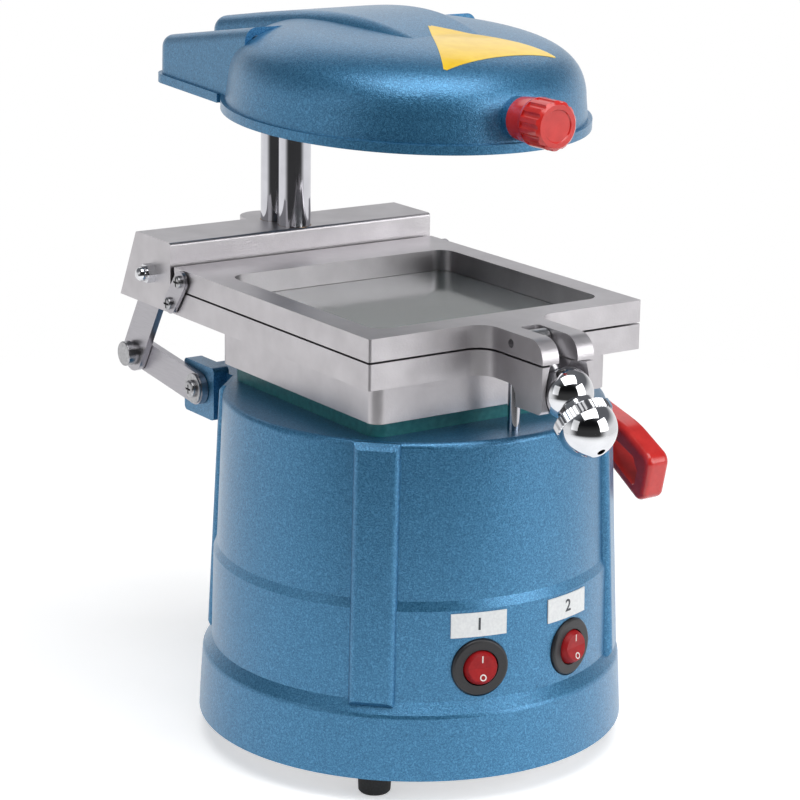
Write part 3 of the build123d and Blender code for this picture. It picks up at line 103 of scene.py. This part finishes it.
def add(tree, kind, settings={}, values={}, wires={}):
    """Add one node: settings are its own options, values fill sockets, wires feed them."""
    node = tree.nodes.new(kind)
    for name, value in settings.items():
        setattr(node, name, value)
    for name, value in values.items():
        node.inputs[name].default_value = value
    for name, source in wires.items():
        tree.links.new(source, node.inputs[name])
    return node


def start_material(name):
    """An empty material, its tree and the object's own coordinates in metres."""
    material = bpy.data.materials.new(name)
    material.use_nodes = True
    tree = material.node_tree
    tree.nodes.clear()
    place = add(tree, "ShaderNodeTexCoord").outputs["Object"]
    return material, tree, place


def end_material(tree, values, wires={}):
    """The shader itself, with what feeds it, and the output."""
    shader = add(tree, "ShaderNodeBsdfPrincipled", {}, values, wires)
    add(tree, "ShaderNodeOutputMaterial", wires={"Surface": shader.outputs["BSDF"]})


def per_mm(size):
    """The scale of a pattern whose features are this many millimetres wide."""
    return 1 / (size * MM)


def bump(tree, height, depth_mm, strength=1.0, under=None):
    """Surface relief of a real depth, optionally on top of a coarser one."""
    wires = {"Height": height}
    if under is not None:
        wires["Normal"] = under
    values = {"Distance": depth_mm * MM, "Strength": strength}
    return add(tree, "ShaderNodeBump", {}, values, wires).outputs["Normal"]


def shades(tree, factor, stops):
    """A colour ramp from (position, hex) stops."""
    ramp = add(tree, "ShaderNodeValToRGB", wires={"Fac": factor})
    for _ in stops[2:]:
        ramp.color_ramp.elements.new(0.5)
    for element, (position, code) in zip(ramp.color_ramp.elements, stops):
        element.position = position
        element.color = linear(code)
    return ramp.outputs["Color"]


# %% [markdown]
# ## Hammertone enamel
#
# Base and head are castings sprayed with hammertone enamel, a stoving paint with aluminium flake that
# draws into a net of fine wrinkles as it dries. The grooves are little more than 1 mm apart. They are
# coloured a darker blue as painted shade of the wrinkles, and the raised cells between them a lighter
# blue. One noise gives both: its middle value is a set of thin winding lines, which are coloured dark as
# painted shade and cut in as relief. The relief matters more than the colour, because it breaks each
# highlight into grains. The clear top of the paint follows it, so the same relief goes to the coat.
# %% Hammertone enamel
WRINKLE_MM, FLAKE_MM = 1.15, 0.6


def hammertone_enamel():
    material, tree, place = start_material("hammertone_enamel")
    wrinkle = add(
        tree,
        "ShaderNodeTexNoise",
        {},
        {"Scale": per_mm(WRINKLE_MM), "Detail": 1.5, "Roughness": 0.6, "Distortion": 0.5},
        {"Vector": place},
    ).outputs["Fac"]
    values = {"Scale": per_mm(FLAKE_MM), "Detail": 1}
    flake = add(tree, "ShaderNodeTexNoise", {}, values, {"Vector": place})
    # the dark middle stop is painted shade in the wrinkle grooves; the outer stops colour the raised
    # cells a lighter blue
    tones = [(0.36, "#4685AE"), (0.46, "#3D7BA3"), (0.505, "#2A6288")]
    tones += [(0.55, "#3E7CA5"), (0.66, "#4C8CB6")]
    colour = shades(tree, wrinkle, tones)
    groove = shades(tree, wrinkle, [(0.36, "#FFFFFF"), (0.5, "#000000"), (0.64, "#FFFFFF")])
    relief = bump(tree, flake.outputs["Fac"], 0.03, 0.35)
    relief = bump(tree, groove, 0.09, 0.4, relief)
    values = {
        "Metallic": 0.6,
        "Roughness": 0.36,
        "Coat Weight": 0.35,
        "Coat Roughness": 0.2,
        "Coat IOR": 1.5,
    }
    end_material(tree, values, {"Base Color": colour, "Normal": relief, "Coat Normal": relief})
    return material


# %% [markdown]
# ## Cast and plated metals
#
# The two frames and the rear bracket are zinc-aluminium castings with a satin nickel finish: warm
# grey, with a fine sandy grain from the mould and broad soft highlights. Posts and links are ground
# steel, whose grinding marks run round the bar and stretch each highlight into a line. The small
# screws are zinc plated, which is a little cloudy. The clamp ball and knob are polished and chromed,
# so they show little of their own and mirror the room.
# %% Cast nickel
CAST_GRAIN_MM = 0.9


def cast_nickel():
    """Ground smooth on the sides and the top, left grainy from the sand on faces along Y."""
    material, tree, place = start_material("satin_nickel_casting")
    values = {"Scale": per_mm(CAST_GRAIN_MM), "Detail": 3}
    grain = add(tree, "ShaderNodeTexNoise", {}, values, {"Vector": place})
    cloud = add(tree, "ShaderNodeTexNoise", {}, {"Scale": per_mm(14), "Detail": 3}, {"Vector": place})
    colour = shades(tree, cloud.outputs["Fac"], [(0.3, "#B7B4B7"), (0.7, "#C6C3C6")])
    rough = add(
        tree,
        "ShaderNodeMapRange",
        {},
        {"To Min": 0.34, "To Max": 0.42},
        {"Value": cloud.outputs["Fac"]},
    )
    facing = add(tree, "ShaderNodeTexCoord").outputs["Normal"]
    along = add(tree, "ShaderNodeSeparateXYZ", wires={"Vector": facing}).outputs["Y"]
    level = add(tree, "ShaderNodeMath", {"operation": "ABSOLUTE"}, {}, {0: along}).outputs["Value"]
    sandy = add(tree, "ShaderNodeMapRange", {}, {"To Min": 0.04, "To Max": 0.55}, {"Value": level})
    wires = {"Height": grain.outputs["Fac"], "Strength": sandy.outputs["Result"]}
    relief = add(tree, "ShaderNodeBump", {}, {"Distance": 0.12 * MM}, wires).outputs["Normal"]
    wires = {"Base Color": colour, "Roughness": rough.outputs["Result"], "Normal": relief}
    end_material(tree, {"Metallic": 1.0}, wires)
    return material


# %% Ground steel
GRIND_MM, GRIND_STRETCH = 0.5, (0.06, 0.06, 1.0)


def ground_steel():
    material, tree, place = start_material("ground_steel")
    stretch = add(tree, "ShaderNodeMapping", {}, {"Scale": GRIND_STRETCH}, {"Vector": place})
    values, wires = {"Scale": per_mm(GRIND_MM), "Detail": 3}, {"Vector": stretch.outputs["Vector"]}
    lines = add(tree, "ShaderNodeTexNoise", {}, values, wires)
    colour = shades(tree, lines.outputs["Fac"], [(0.35, "#ABA9AE"), (0.65, "#B1AFB4")])
    relief = bump(tree, lines.outputs["Fac"], 0.006, 0.4)
    values = {"Metallic": 1.0, "Roughness": 0.30, "Anisotropic": 0.4}
    end_material(tree, values, {"Base Color": colour, "Normal": relief})
    return material


# %% Zinc plate, bright sheet and bronze
def cloudy_metal(name, dark, light, roughness, cloud_mm, relief_mm):
    """A metal whose tone and gloss drift softly, such as zinc plate or rolled sheet."""
    material, tree, place = start_material(name)
    values = {"Scale": per_mm(cloud_mm), "Detail": 4}
    cloud = add(tree, "ShaderNodeTexNoise", {}, values, {"Vector": place})
    colour = shades(tree, cloud.outputs["Fac"], [(0.3, dark), (0.7, light)])
    relief = bump(tree, cloud.outputs["Fac"], relief_mm, 0.5)
    values = {"Metallic": 1.0, "Roughness": roughness}
    end_material(tree, values, {"Base Color": colour, "Normal": relief})
    return material


# %% [markdown]
# ## Plastics, rubber and silicone
#
# The lever grip and the heater knob are red ABS, moulded in a polished tool: saturated, glossy, with
# the very slight waviness of a thick moulding. The rocker caps are a clear red polycarbonate, so
# light sinks in a little. Bezels are black nylon with a fine spark-eroded texture. The gasket is teal
# silicone and the sheet in the frame a clear, faintly grey forming plastic.
# %% Moulded plastics
def moulded_plastic(name, colour, roughness, grain_mm, relief_mm, **shader):
    """A moulded plastic with the texture of its tool; a darker tone is painted in the hollows as their
    shade.
    """
    material, tree, place = start_material(name)
    values = {"Scale": per_mm(grain_mm), "Detail": 3}
    grain = add(tree, "ShaderNodeTexNoise", {}, values, {"Vector": place})
    # the darker first tone sits where the grain is low, which is painted shade in the hollows of the
    # texture
    tones = shades(tree, grain.outputs["Fac"], [(0.3, colour[0]), (0.7, colour[1])])
    relief = bump(tree, grain.outputs["Fac"], relief_mm, 0.5)
    values = {"Roughness": roughness}
    values.update({key.replace("_", " "): value for key, value in shader.items()})
    end_material(tree, values, {"Base Color": tones, "Normal": relief})
    return material


# %% [markdown]
# ## One finish per slot
#
# Each solid already names the slot that it takes its finish from. The table below gives every slot
# its material, and the loop hands them out.
# %% Give every solid its finish
finishes = {
    "blue_enamel": hammertone_enamel(),
    "cast_nickel": cast_nickel(),
    "ground_steel": ground_steel(),
    "chrome": cloudy_metal("polished_chrome", "#D0D1D4", "#DADBDE", 0.05, 6, 0.003),
    "zinc_steel": cloudy_metal("zinc_plated_steel", "#9A9A9C", "#B6B6B8", 0.28, 1.5, 0.02),
    "bright_aluminium": cloudy_metal("rolled_aluminium", "#B9BABC", "#CDCED0", 0.30, 1.2, 0.02),
    "bearing_bronze": cloudy_metal("sintered_bronze", "#8E6B3C", "#A8834E", 0.42, 0.5, 0.02),
    "heating_rod": cloudy_metal("oxidised_heating_rod", "#4A4038", "#6A5C50", 0.55, 1.0, 0.03),
    "red_plastic": moulded_plastic(
        "red_abs",
        ("#CB2724", "#DC332E"),
        0.2,
        5.0,
        0.03,
        IOR=1.54,
        Coat_Weight=0.25,
        Coat_Roughness=0.08,
    ),
    "red_lens": moulded_plastic(
        "red_polycarbonate",
        ("#A3141A", "#B81C20"),
        0.42,
        3.0,
        0.01,
        IOR=1.46,
        Specular_IOR_Level=0.3,
        Transmission_Weight=0.2,
    ),
    "black_plastic": moulded_plastic("black_nylon", ("#151517", "#202024"), 0.42, 0.4, 0.03, IOR=1.53),
    "black_rubber": moulded_plastic("black_rubber", ("#141415", "#232325"), 0.75, 0.8, 0.05, IOR=1.52),
    "teal_silicone": moulded_plastic(
        "teal_silicone", ("#2F7F84", "#3F979B"), 0.36, 2.5, 0.03, IOR=1.41, Transmission_Weight=0.25
    ),
    "sheet_plastic": moulded_plastic(
        "clear_forming_sheet", ("#C9D3D1", "#D6DEDC"), 0.10, 30, 0.05, IOR=1.57, Transmission_Weight=0.85
    ),
}
# the posts and the guide pin are ground steel too, but buffed and hard chromed for the bushes
chromed_shaft = cloudy_metal("hard_chromed_shaft", "#C6C6CC", "#D2D2D8", 0.07, 9, 0.004)
own_finish = {"front_post": chromed_shaft, "rear_post": chromed_shaft, "guide_pin": chromed_shaft}
slot_of = {s["node"]: s["material_slot"] for s in frame["record"]["subparts"]}
for name, solid in nodes.items():
    solid.data.materials.clear()
    solid.data.materials.append(own_finish.get(name, finishes[slot_of[name]]))
print("finishes:", len(finishes) + 1)

# %% [markdown]
# ## Smooth or sharp
#
# The solids arrive as flat facets. Shading them smooth by angle keeps machined edges crisp while
# turned and cast surfaces read as curves.
# %% Shade the solids
SHARP_ANGLE = math.radians(32)
for solid in nodes.values():
    mesh = solid.data
    work = bmesh.new()
    work.from_mesh(mesh)
    for face in work.faces:
        face.smooth = True
    for edge in work.edges:
        edge.smooth = len(edge.link_faces) != 2 or edge.calc_face_angle(0) < SHARP_ANGLE
    work.to_mesh(mesh)
    work.free()
print("shaded", len(nodes), "solids")

# %% [markdown]
# ## Where the switches sit
#
# Two round rocker switches sit side by side in the front of the base, turned a few degrees to each
# side of the middle. What goes on or over them is placed in the switch's own frame: x across, y up,
# z out of the wall. One function gives that frame for both.
# %% Switch frames
SWITCH_ANGLE = 15.5
SWITCH_HEIGHT = 58.5
SWITCH_REACH = 88.0  # from the axis of the base to the wall at a switch, in millimetres


def wall_frame(angle, height, reach):
    """A frame on the upright wall of the base: x across, y up, z out; all in millimetres."""
    turn = math.radians(angle - 90)
    out = Vector((math.cos(turn), math.sin(turn), 0))
    across = Vector((-out.y, out.x, 0))
    turned = Matrix((across, Vector((0, 0, 1)), out)).transposed().to_4x4()
    spot = Vector((reach * out.x, reach * out.y, height)) * MM
    return Matrix.Translation(spot) @ turned


def make_piece(name, mesh_builder, place, material, body):
    """Build a mesh in millimetres, put it in place and let it ride on its body."""
    work = bmesh.new()
    mesh_builder(work)
    bmesh.ops.transform(work, matrix=place @ Matrix.Scale(MM, 4), verts=work.verts)
    bmesh.ops.recalc_face_normals(work, faces=work.faces)
    mesh = bpy.data.meshes.new(name)
    work.to_mesh(mesh)
    work.free()
    mesh.materials.append(material)
    piece = bpy.data.objects.new(name, mesh)
    bpy.context.scene.collection.objects.link(piece)
    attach(piece, body)
    return piece


# %% [markdown]
# ## Marks on the rockers
#
# Each rocker cap carries an I and an O, printed in white. They are thin raised shapes that lie on
# the two faces of the cap, so they tip with the rocker. The cap's faces meet in a shallow valley:
# each rises by the tilt angle from the middle.
# %% Rocker marks
ROCKER_TILT = math.radians(8)
ROCKER_FACE = 4.2
MARK_OFFSET, MARK_HEIGHT = 3.9, 0.12
BAR_WIDTH, BAR_LENGTH = 0.55, 3.0
RING_OUTER, RING_INNER, RING_STEPS = 1.45, 0.95, 40
white_print = moulded_plastic("white_print", ("#E6E2DE", "#F0ECE8"), 0.5, 1.0, 0.002)


def bar_mark(work):
    """The I: a slim upright bar with softened ends."""
    made = bmesh.ops.create_cube(work, size=1)["verts"]
    bmesh.ops.scale(work, vec=(BAR_WIDTH, BAR_LENGTH, MARK_HEIGHT), verts=made)
    bmesh.ops.bevel(work, geom=work.edges[:], offset=0.04, segments=1, affect="EDGES")


def ring_mark(work):
    """The O: a flat ring, drawn as two circles joined by a thin wall."""
    top = MARK_HEIGHT / 2
    turns = [math.tau * i / RING_STEPS for i in range(RING_STEPS)]
    rows = []
    for radius, height in ((RING_OUTER, 0), (RING_OUTER, top), (RING_INNER, top), (RING_INNER, 0)):
        spots = [(radius * math.cos(a), radius * math.sin(a), height) for a in turns]
        rows.append([work.verts.new(spot) for spot in spots])
    for a, b in zip(rows, rows[1:] + rows[:1]):
        for i in range(RING_STEPS):
            j = (i + 1) % RING_STEPS
            work.faces.new((a[i], a[j], b[j], b[i]))


for side, body in ((-1, "left_rocker"), (1, "right_rocker")):
    switch = wall_frame(side * SWITCH_ANGLE, SWITCH_HEIGHT, SWITCH_REACH)
    rest = switch @ Matrix.Rotation(-ROCKER_TILT, 4, "X")
    for mark, half, builder in (("on", 1, bar_mark), ("off", -1, ring_mark)):
        height = ROCKER_FACE + MARK_OFFSET * math.tan(ROCKER_TILT) + 0.03
        spot = Matrix.Translation(Vector((0, half * MARK_OFFSET, height)) * MM)
        face = rest @ spot @ Matrix.Rotation(half * ROCKER_TILT, 4, "X")
        make_piece(f"{body}_{mark}_mark", builder, face, white_print, body)
print("rocker marks: 4")

# %% [markdown]
# ## Number plates over the switches
#
# Above each switch a small white engraved-plastic plate follows the curve of the wall. It is a thin
# sheet, just under 25 by 10.5 mm, and it carries nothing but the number of its switch. The plate is
# built as a strip bent round the wall, with its own thickness.
# %% Number plates
PLATE_WIDTH, PLATE_HEIGHT, PLATE_THICK, PLATE_STEPS = 24.7, 10.5, 0.5, 14
PLATE_TURN = {-1: -15.9, 1: 14.0}
WALL_RADIUS_AT_PLATE = 88.55
PLATE_LEVEL, WALL_LEAN = 77.5, math.radians(-1.2)
DIGIT_SIZE, DIGIT_DEPTH, DIGIT_WEIGHT = 7.5, 0.06, 0.1
plate_white = moulded_plastic("white_engraved_plastic", ("#E4E6E7", "#EFF1F1"), 0.34, 1.2, 0.004)
ink_grey = moulded_plastic("engraving_ink", ("#3C4046", "#484C52"), 0.5, 0.6, 0.004)


def bent_plate(width, height, thick, radius):
    """A builder for a sheet that follows a round wall."""

    def build(work):
        rows = []
        for up in (-height / 2, height / 2):
            for out in (0, thick):
                row = []
                reach = radius + out
                for i in range(PLATE_STEPS + 1):
                    turn = (i / PLATE_STEPS - 0.5) * width / radius
                    spot = (reach * math.sin(turn), up, reach * math.cos(turn) - radius)
                    row.append(work.verts.new(spot))
                rows.append(row)
        order = [rows[0], rows[1], rows[3], rows[2]]
        for a, b in zip(order, order[1:] + order[:1]):
            for i in range(PLATE_STEPS):
                work.faces.new((a[i], a[i + 1], b[i + 1], b[i]))
        for i in (0, PLATE_STEPS):
            work.faces.new([row[i] for row in order])

    return build


def number_on(name, text, place):
    """A digit as a thin solid, centred on a place."""
    curve = bpy.data.curves.new(name, "FONT")
    curve.body = text
    curve.size = DIGIT_SIZE * MM
    curve.extrude = DIGIT_DEPTH * MM
    curve.offset = DIGIT_WEIGHT * MM
    curve.align_x = "CENTER"
    curve.align_y = "CENTER"
    shape = bpy.data.objects.new(name + "_outline", curve)
    bpy.context.scene.collection.objects.link(shape)
    bpy.context.view_layer.update()
    mesh = bpy.data.meshes.new_from_object(shape)
    bpy.data.objects.remove(shape)
    mesh.transform(place)
    mesh.materials.clear()
    mesh.materials.append(ink_grey)
    piece = bpy.data.objects.new(name, mesh)
    bpy.context.scene.collection.objects.link(piece)
    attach(piece, "base")


for side, number in ((-1, "1"), (1, "2")):
    wall = wall_frame(PLATE_TURN[side], PLATE_LEVEL, WALL_RADIUS_AT_PLATE)
    lean = wall @ Matrix.Rotation(WALL_LEAN, 4, "X")
    plate = bent_plate(PLATE_WIDTH, PLATE_HEIGHT, PLATE_THICK, WALL_RADIUS_AT_PLATE)
    make_piece(f"number_plate_{number}", plate, lean, plate_white, "base")
    digit = lean @ Matrix.Translation(Vector((0, 0, PLATE_THICK + 0.05)) * MM)
    number_on(f"plate_number_{number}", number, digit)
print("number plates: 2")

# %% [markdown]
# ## A plain decal on the dome
#
# A triangle of yellow vinyl is stuck on the front of the dome. Here it stays plain, with no words
# and no sign. Film lies where the surface lets it, so the triangle is divided finely, each point is
# dropped on the cover from above and lifted by the thickness of the film. It rides on the head.
# %% Decal
DECAL_CORNERS = (Vector((0.6, -4.2)), Vector((-26.0, -54.4)), Vector((37.4, -47.4)))
DECAL_STEPS = 40
FILM = 0.15  # thickness in millimetres
DROP_FROM = 400  # a height above everything, in millimetres
yellow_vinyl = moulded_plastic("yellow_vinyl", ("#E9BE1E", "#F2CB2C"), 0.3, 6.0, 0.02, Coat_Weight=0.3)


def lay_film(work):
    """A triangular grid dropped on the cover, without its three sharp tips."""
    cover = nodes["heater_cover"]
    tip, left, right = DECAL_CORNERS
    points = {}
    for i in range(DECAL_STEPS + 1):
        for j in range(DECAL_STEPS + 1 - i):
            if DECAL_STEPS in (i, j, DECAL_STEPS - i - j):
                continue
            spot = tip + (left - tip) * (i / DECAL_STEPS) + (right - tip) * (j / DECAL_STEPS)
            above = Vector((spot.x, spot.y, DROP_FROM)) * MM
            _, found, normal, _ = cover.ray_cast(above, Vector((0, 0, -1)))
            points[i, j] = work.verts.new((found + normal * FILM * MM) / MM)
    for i, j in list(points):
        for corners in (((i, j), (i + 1, j), (i, j + 1)), ((i + 1, j), (i + 1, j + 1), (i, j + 1))):
            if all(corner in points for corner in corners):
                work.faces.new([points[corner] for corner in corners])
    bmesh.ops.recalc_face_normals(work, faces=work.faces)
    bmesh.ops.solidify(work, geom=work.faces[:], thickness=FILM * 0.9)


decal = make_piece("dome_decal", lay_film, Matrix(), yellow_vinyl, "heater_head")
print("decal faces:", len(decal.data.polygons))

# %% [markdown]
# ## The studio
#
# Four soft boxes: one at the front right that lays a bright upright band on the round base, one at
# the left for the flanks, one overhead for the shoulder of the head, and one behind, out of the
# picture, that glances off the level tops. The floor is a pale disc that keeps the shadow and melts
# into the white backdrop. The backdrop is white up to the horizon and turns grey overhead. Mirrors
# and clear plastic see it as the camera does, but for one thing: behind the camera the room is dark,
# which gives polished metal its dark streak. What lights matt surfaces is a softer, dimmer version
# of the same room.
# %% What looks straight at the room
def seen_directly(tree):
    """1 for what the camera, a mirror or a clear sheet sees, 0 for what only lights the object."""
    path = add(tree, "ShaderNodeLightPath").outputs
    wires = {0: path["Is Camera Ray"], 1: path["Is Glossy Ray"]}
    seen = add(tree, "ShaderNodeMath", {"operation": "MAXIMUM"}, {}, wires).outputs["Value"]
    wires = {0: seen, 1: path["Is Transmission Ray"]}
    return add(tree, "ShaderNodeMath", {"operation": "MAXIMUM"}, {}, wires).outputs["Value"]


# %% Floor
FLOOR_RADIUS, FLOOR_SIDES = 0.8, 96
FLOOR_FADE = (0.30, 0.74)
FLOOR_GLOW = "#B4B4B4"  # what the backdrop adds to the floor where it is looked at


def floor_material():
    """Pale paint with a glow of its own that turns clear towards the rim of the disc."""
    material, tree, place = start_material("pale_floor_paint")
    grain = add(tree, "ShaderNodeTexNoise", {}, {"Scale": per_mm(40), "Detail": 2}, {"Vector": place})
    colour = shades(tree, grain.outputs["Fac"], [(0.3, "#F3F3F3"), (0.7, "#F7F7F7")])
    paint = add(tree, "ShaderNodeBsdfPrincipled", {}, {"Roughness": 0.8}, {"Base Color": colour})
    wires = {"Strength": seen_directly(tree)}
    glow = add(tree, "ShaderNodeEmission", {}, {"Color": linear(FLOOR_GLOW)}, wires)
    wires = {0: paint.outputs["BSDF"], 1: glow.outputs["Emission"]}
    lit = add(tree, "ShaderNodeAddShader", wires=wires)
    clear = add(tree, "ShaderNodeBsdfTransparent")
    reach = add(tree, "ShaderNodeVectorMath", {"operation": "LENGTH"}, {}, {0: place})
    fade = add(
        tree,
        "ShaderNodeMapRange",
        {"interpolation_type": "SMOOTHSTEP"},
        {"From Min": FLOOR_FADE[0], "From Max": FLOOR_FADE[1]},
        {"Value": reach.outputs["Value"]},
    )
    wires = {"Fac": fade.outputs["Result"], 1: lit.outputs["Shader"], 2: clear.outputs["BSDF"]}
    both = add(tree, "ShaderNodeMixShader", {}, {}, wires)
    add(tree, "ShaderNodeOutputMaterial", wires={"Surface": both.outputs["Shader"]})
    return material


floor_mesh = bpy.data.meshes.new("floor")
turns = [math.tau * i / FLOOR_SIDES for i in range(FLOOR_SIDES)]
rim = [(FLOOR_RADIUS * math.cos(a), FLOOR_RADIUS * math.sin(a), 0) for a in turns]
floor_mesh.from_pydata(rim, [], [tuple(range(FLOOR_SIDES))])
floor_mesh.materials.append(floor_material())
floor = bpy.data.objects.new("floor", floor_mesh)
bpy.context.scene.collection.objects.link(floor)


# %% Lamps
def soft_lamp(name, spot, size, power):
    """A rectangular area lamp that faces the middle of the machine."""
    data = bpy.data.lights.new(name, "AREA")
    data.shape = "RECTANGLE"
    data.size, data.size_y = size
    data.energy = power
    lamp = bpy.data.objects.new(name, data)
    lamp.location = spot
    aim = CAMERA_AIM - Vector(spot)
    lamp.rotation_euler = aim.to_track_quat("-Z", "Y").to_euler()
    bpy.context.scene.collection.objects.link(lamp)


soft_lamp("front_right", (0.62, -1.22, 0.60), (0.9, 1.0), 9)
soft_lamp("left", (-1.35, -0.10, 0.62), (0.7, 0.9), 1.6)
soft_lamp("overhead", (-0.12, -0.45, 1.40), (1.3, 1.0), 13)
soft_lamp("behind", (0.50, 0.95, 0.92), (1.3, 0.6), 2.2)

# %% World
BACKDROP = [(0.06, "#FFFFFF"), (0.42, "#707276")]  # from the horizon up
DARK_ROOM = {"From Min": 0.2, "From Max": 0.75, "To Min": 1.0, "To Max": 0.05}
world = bpy.data.worlds.new("studio")
bpy.context.scene.world = world
world.use_nodes = True
sky = world.node_tree
sky.nodes.clear()
direction = add(sky, "ShaderNodeTexCoord").outputs["Generated"]
height = add(sky, "ShaderNodeSeparateXYZ", wires={"Vector": direction}).outputs["Z"]
room = shades(sky, height, BACKDROP)
# the dark room behind the camera, as only polished metal sees it
camera_side = (math.sin(CAMERA_TURN), -math.cos(CAMERA_TURN), 0)
facing = add(sky, "ShaderNodeVectorMath", {"operation": "DOT_PRODUCT"}, {1: camera_side}, {0: direction})
smooth = {"interpolation_type": "SMOOTHSTEP"}
dark = add(sky, "ShaderNodeMapRange", smooth, DARK_ROOM, {"Value": facing.outputs["Value"]})
glossy = add(sky, "ShaderNodeLightPath").outputs["Is Glossy Ray"]
strength = add(sky, "ShaderNodeMix", {}, {"A": 1.0}, {"Factor": glossy, "B": dark.outputs["Result"]})
wires = {"Color": room, "Strength": strength.outputs["Result"]}
backdrop = add(sky, "ShaderNodeBackground", {}, {}, wires)
soft = add(sky, "ShaderNodeBackground", {}, {"Color": linear("#E9EBEE"), "Strength": 0.26})
wires = {"Fac": seen_directly(sky), 1: soft.outputs["Background"], 2: backdrop.outputs["Background"]}
mix = add(sky, "ShaderNodeMixShader", {}, {}, wires)
add(sky, "ShaderNodeOutputWorld", wires={"Surface": mix.outputs["Shader"]})
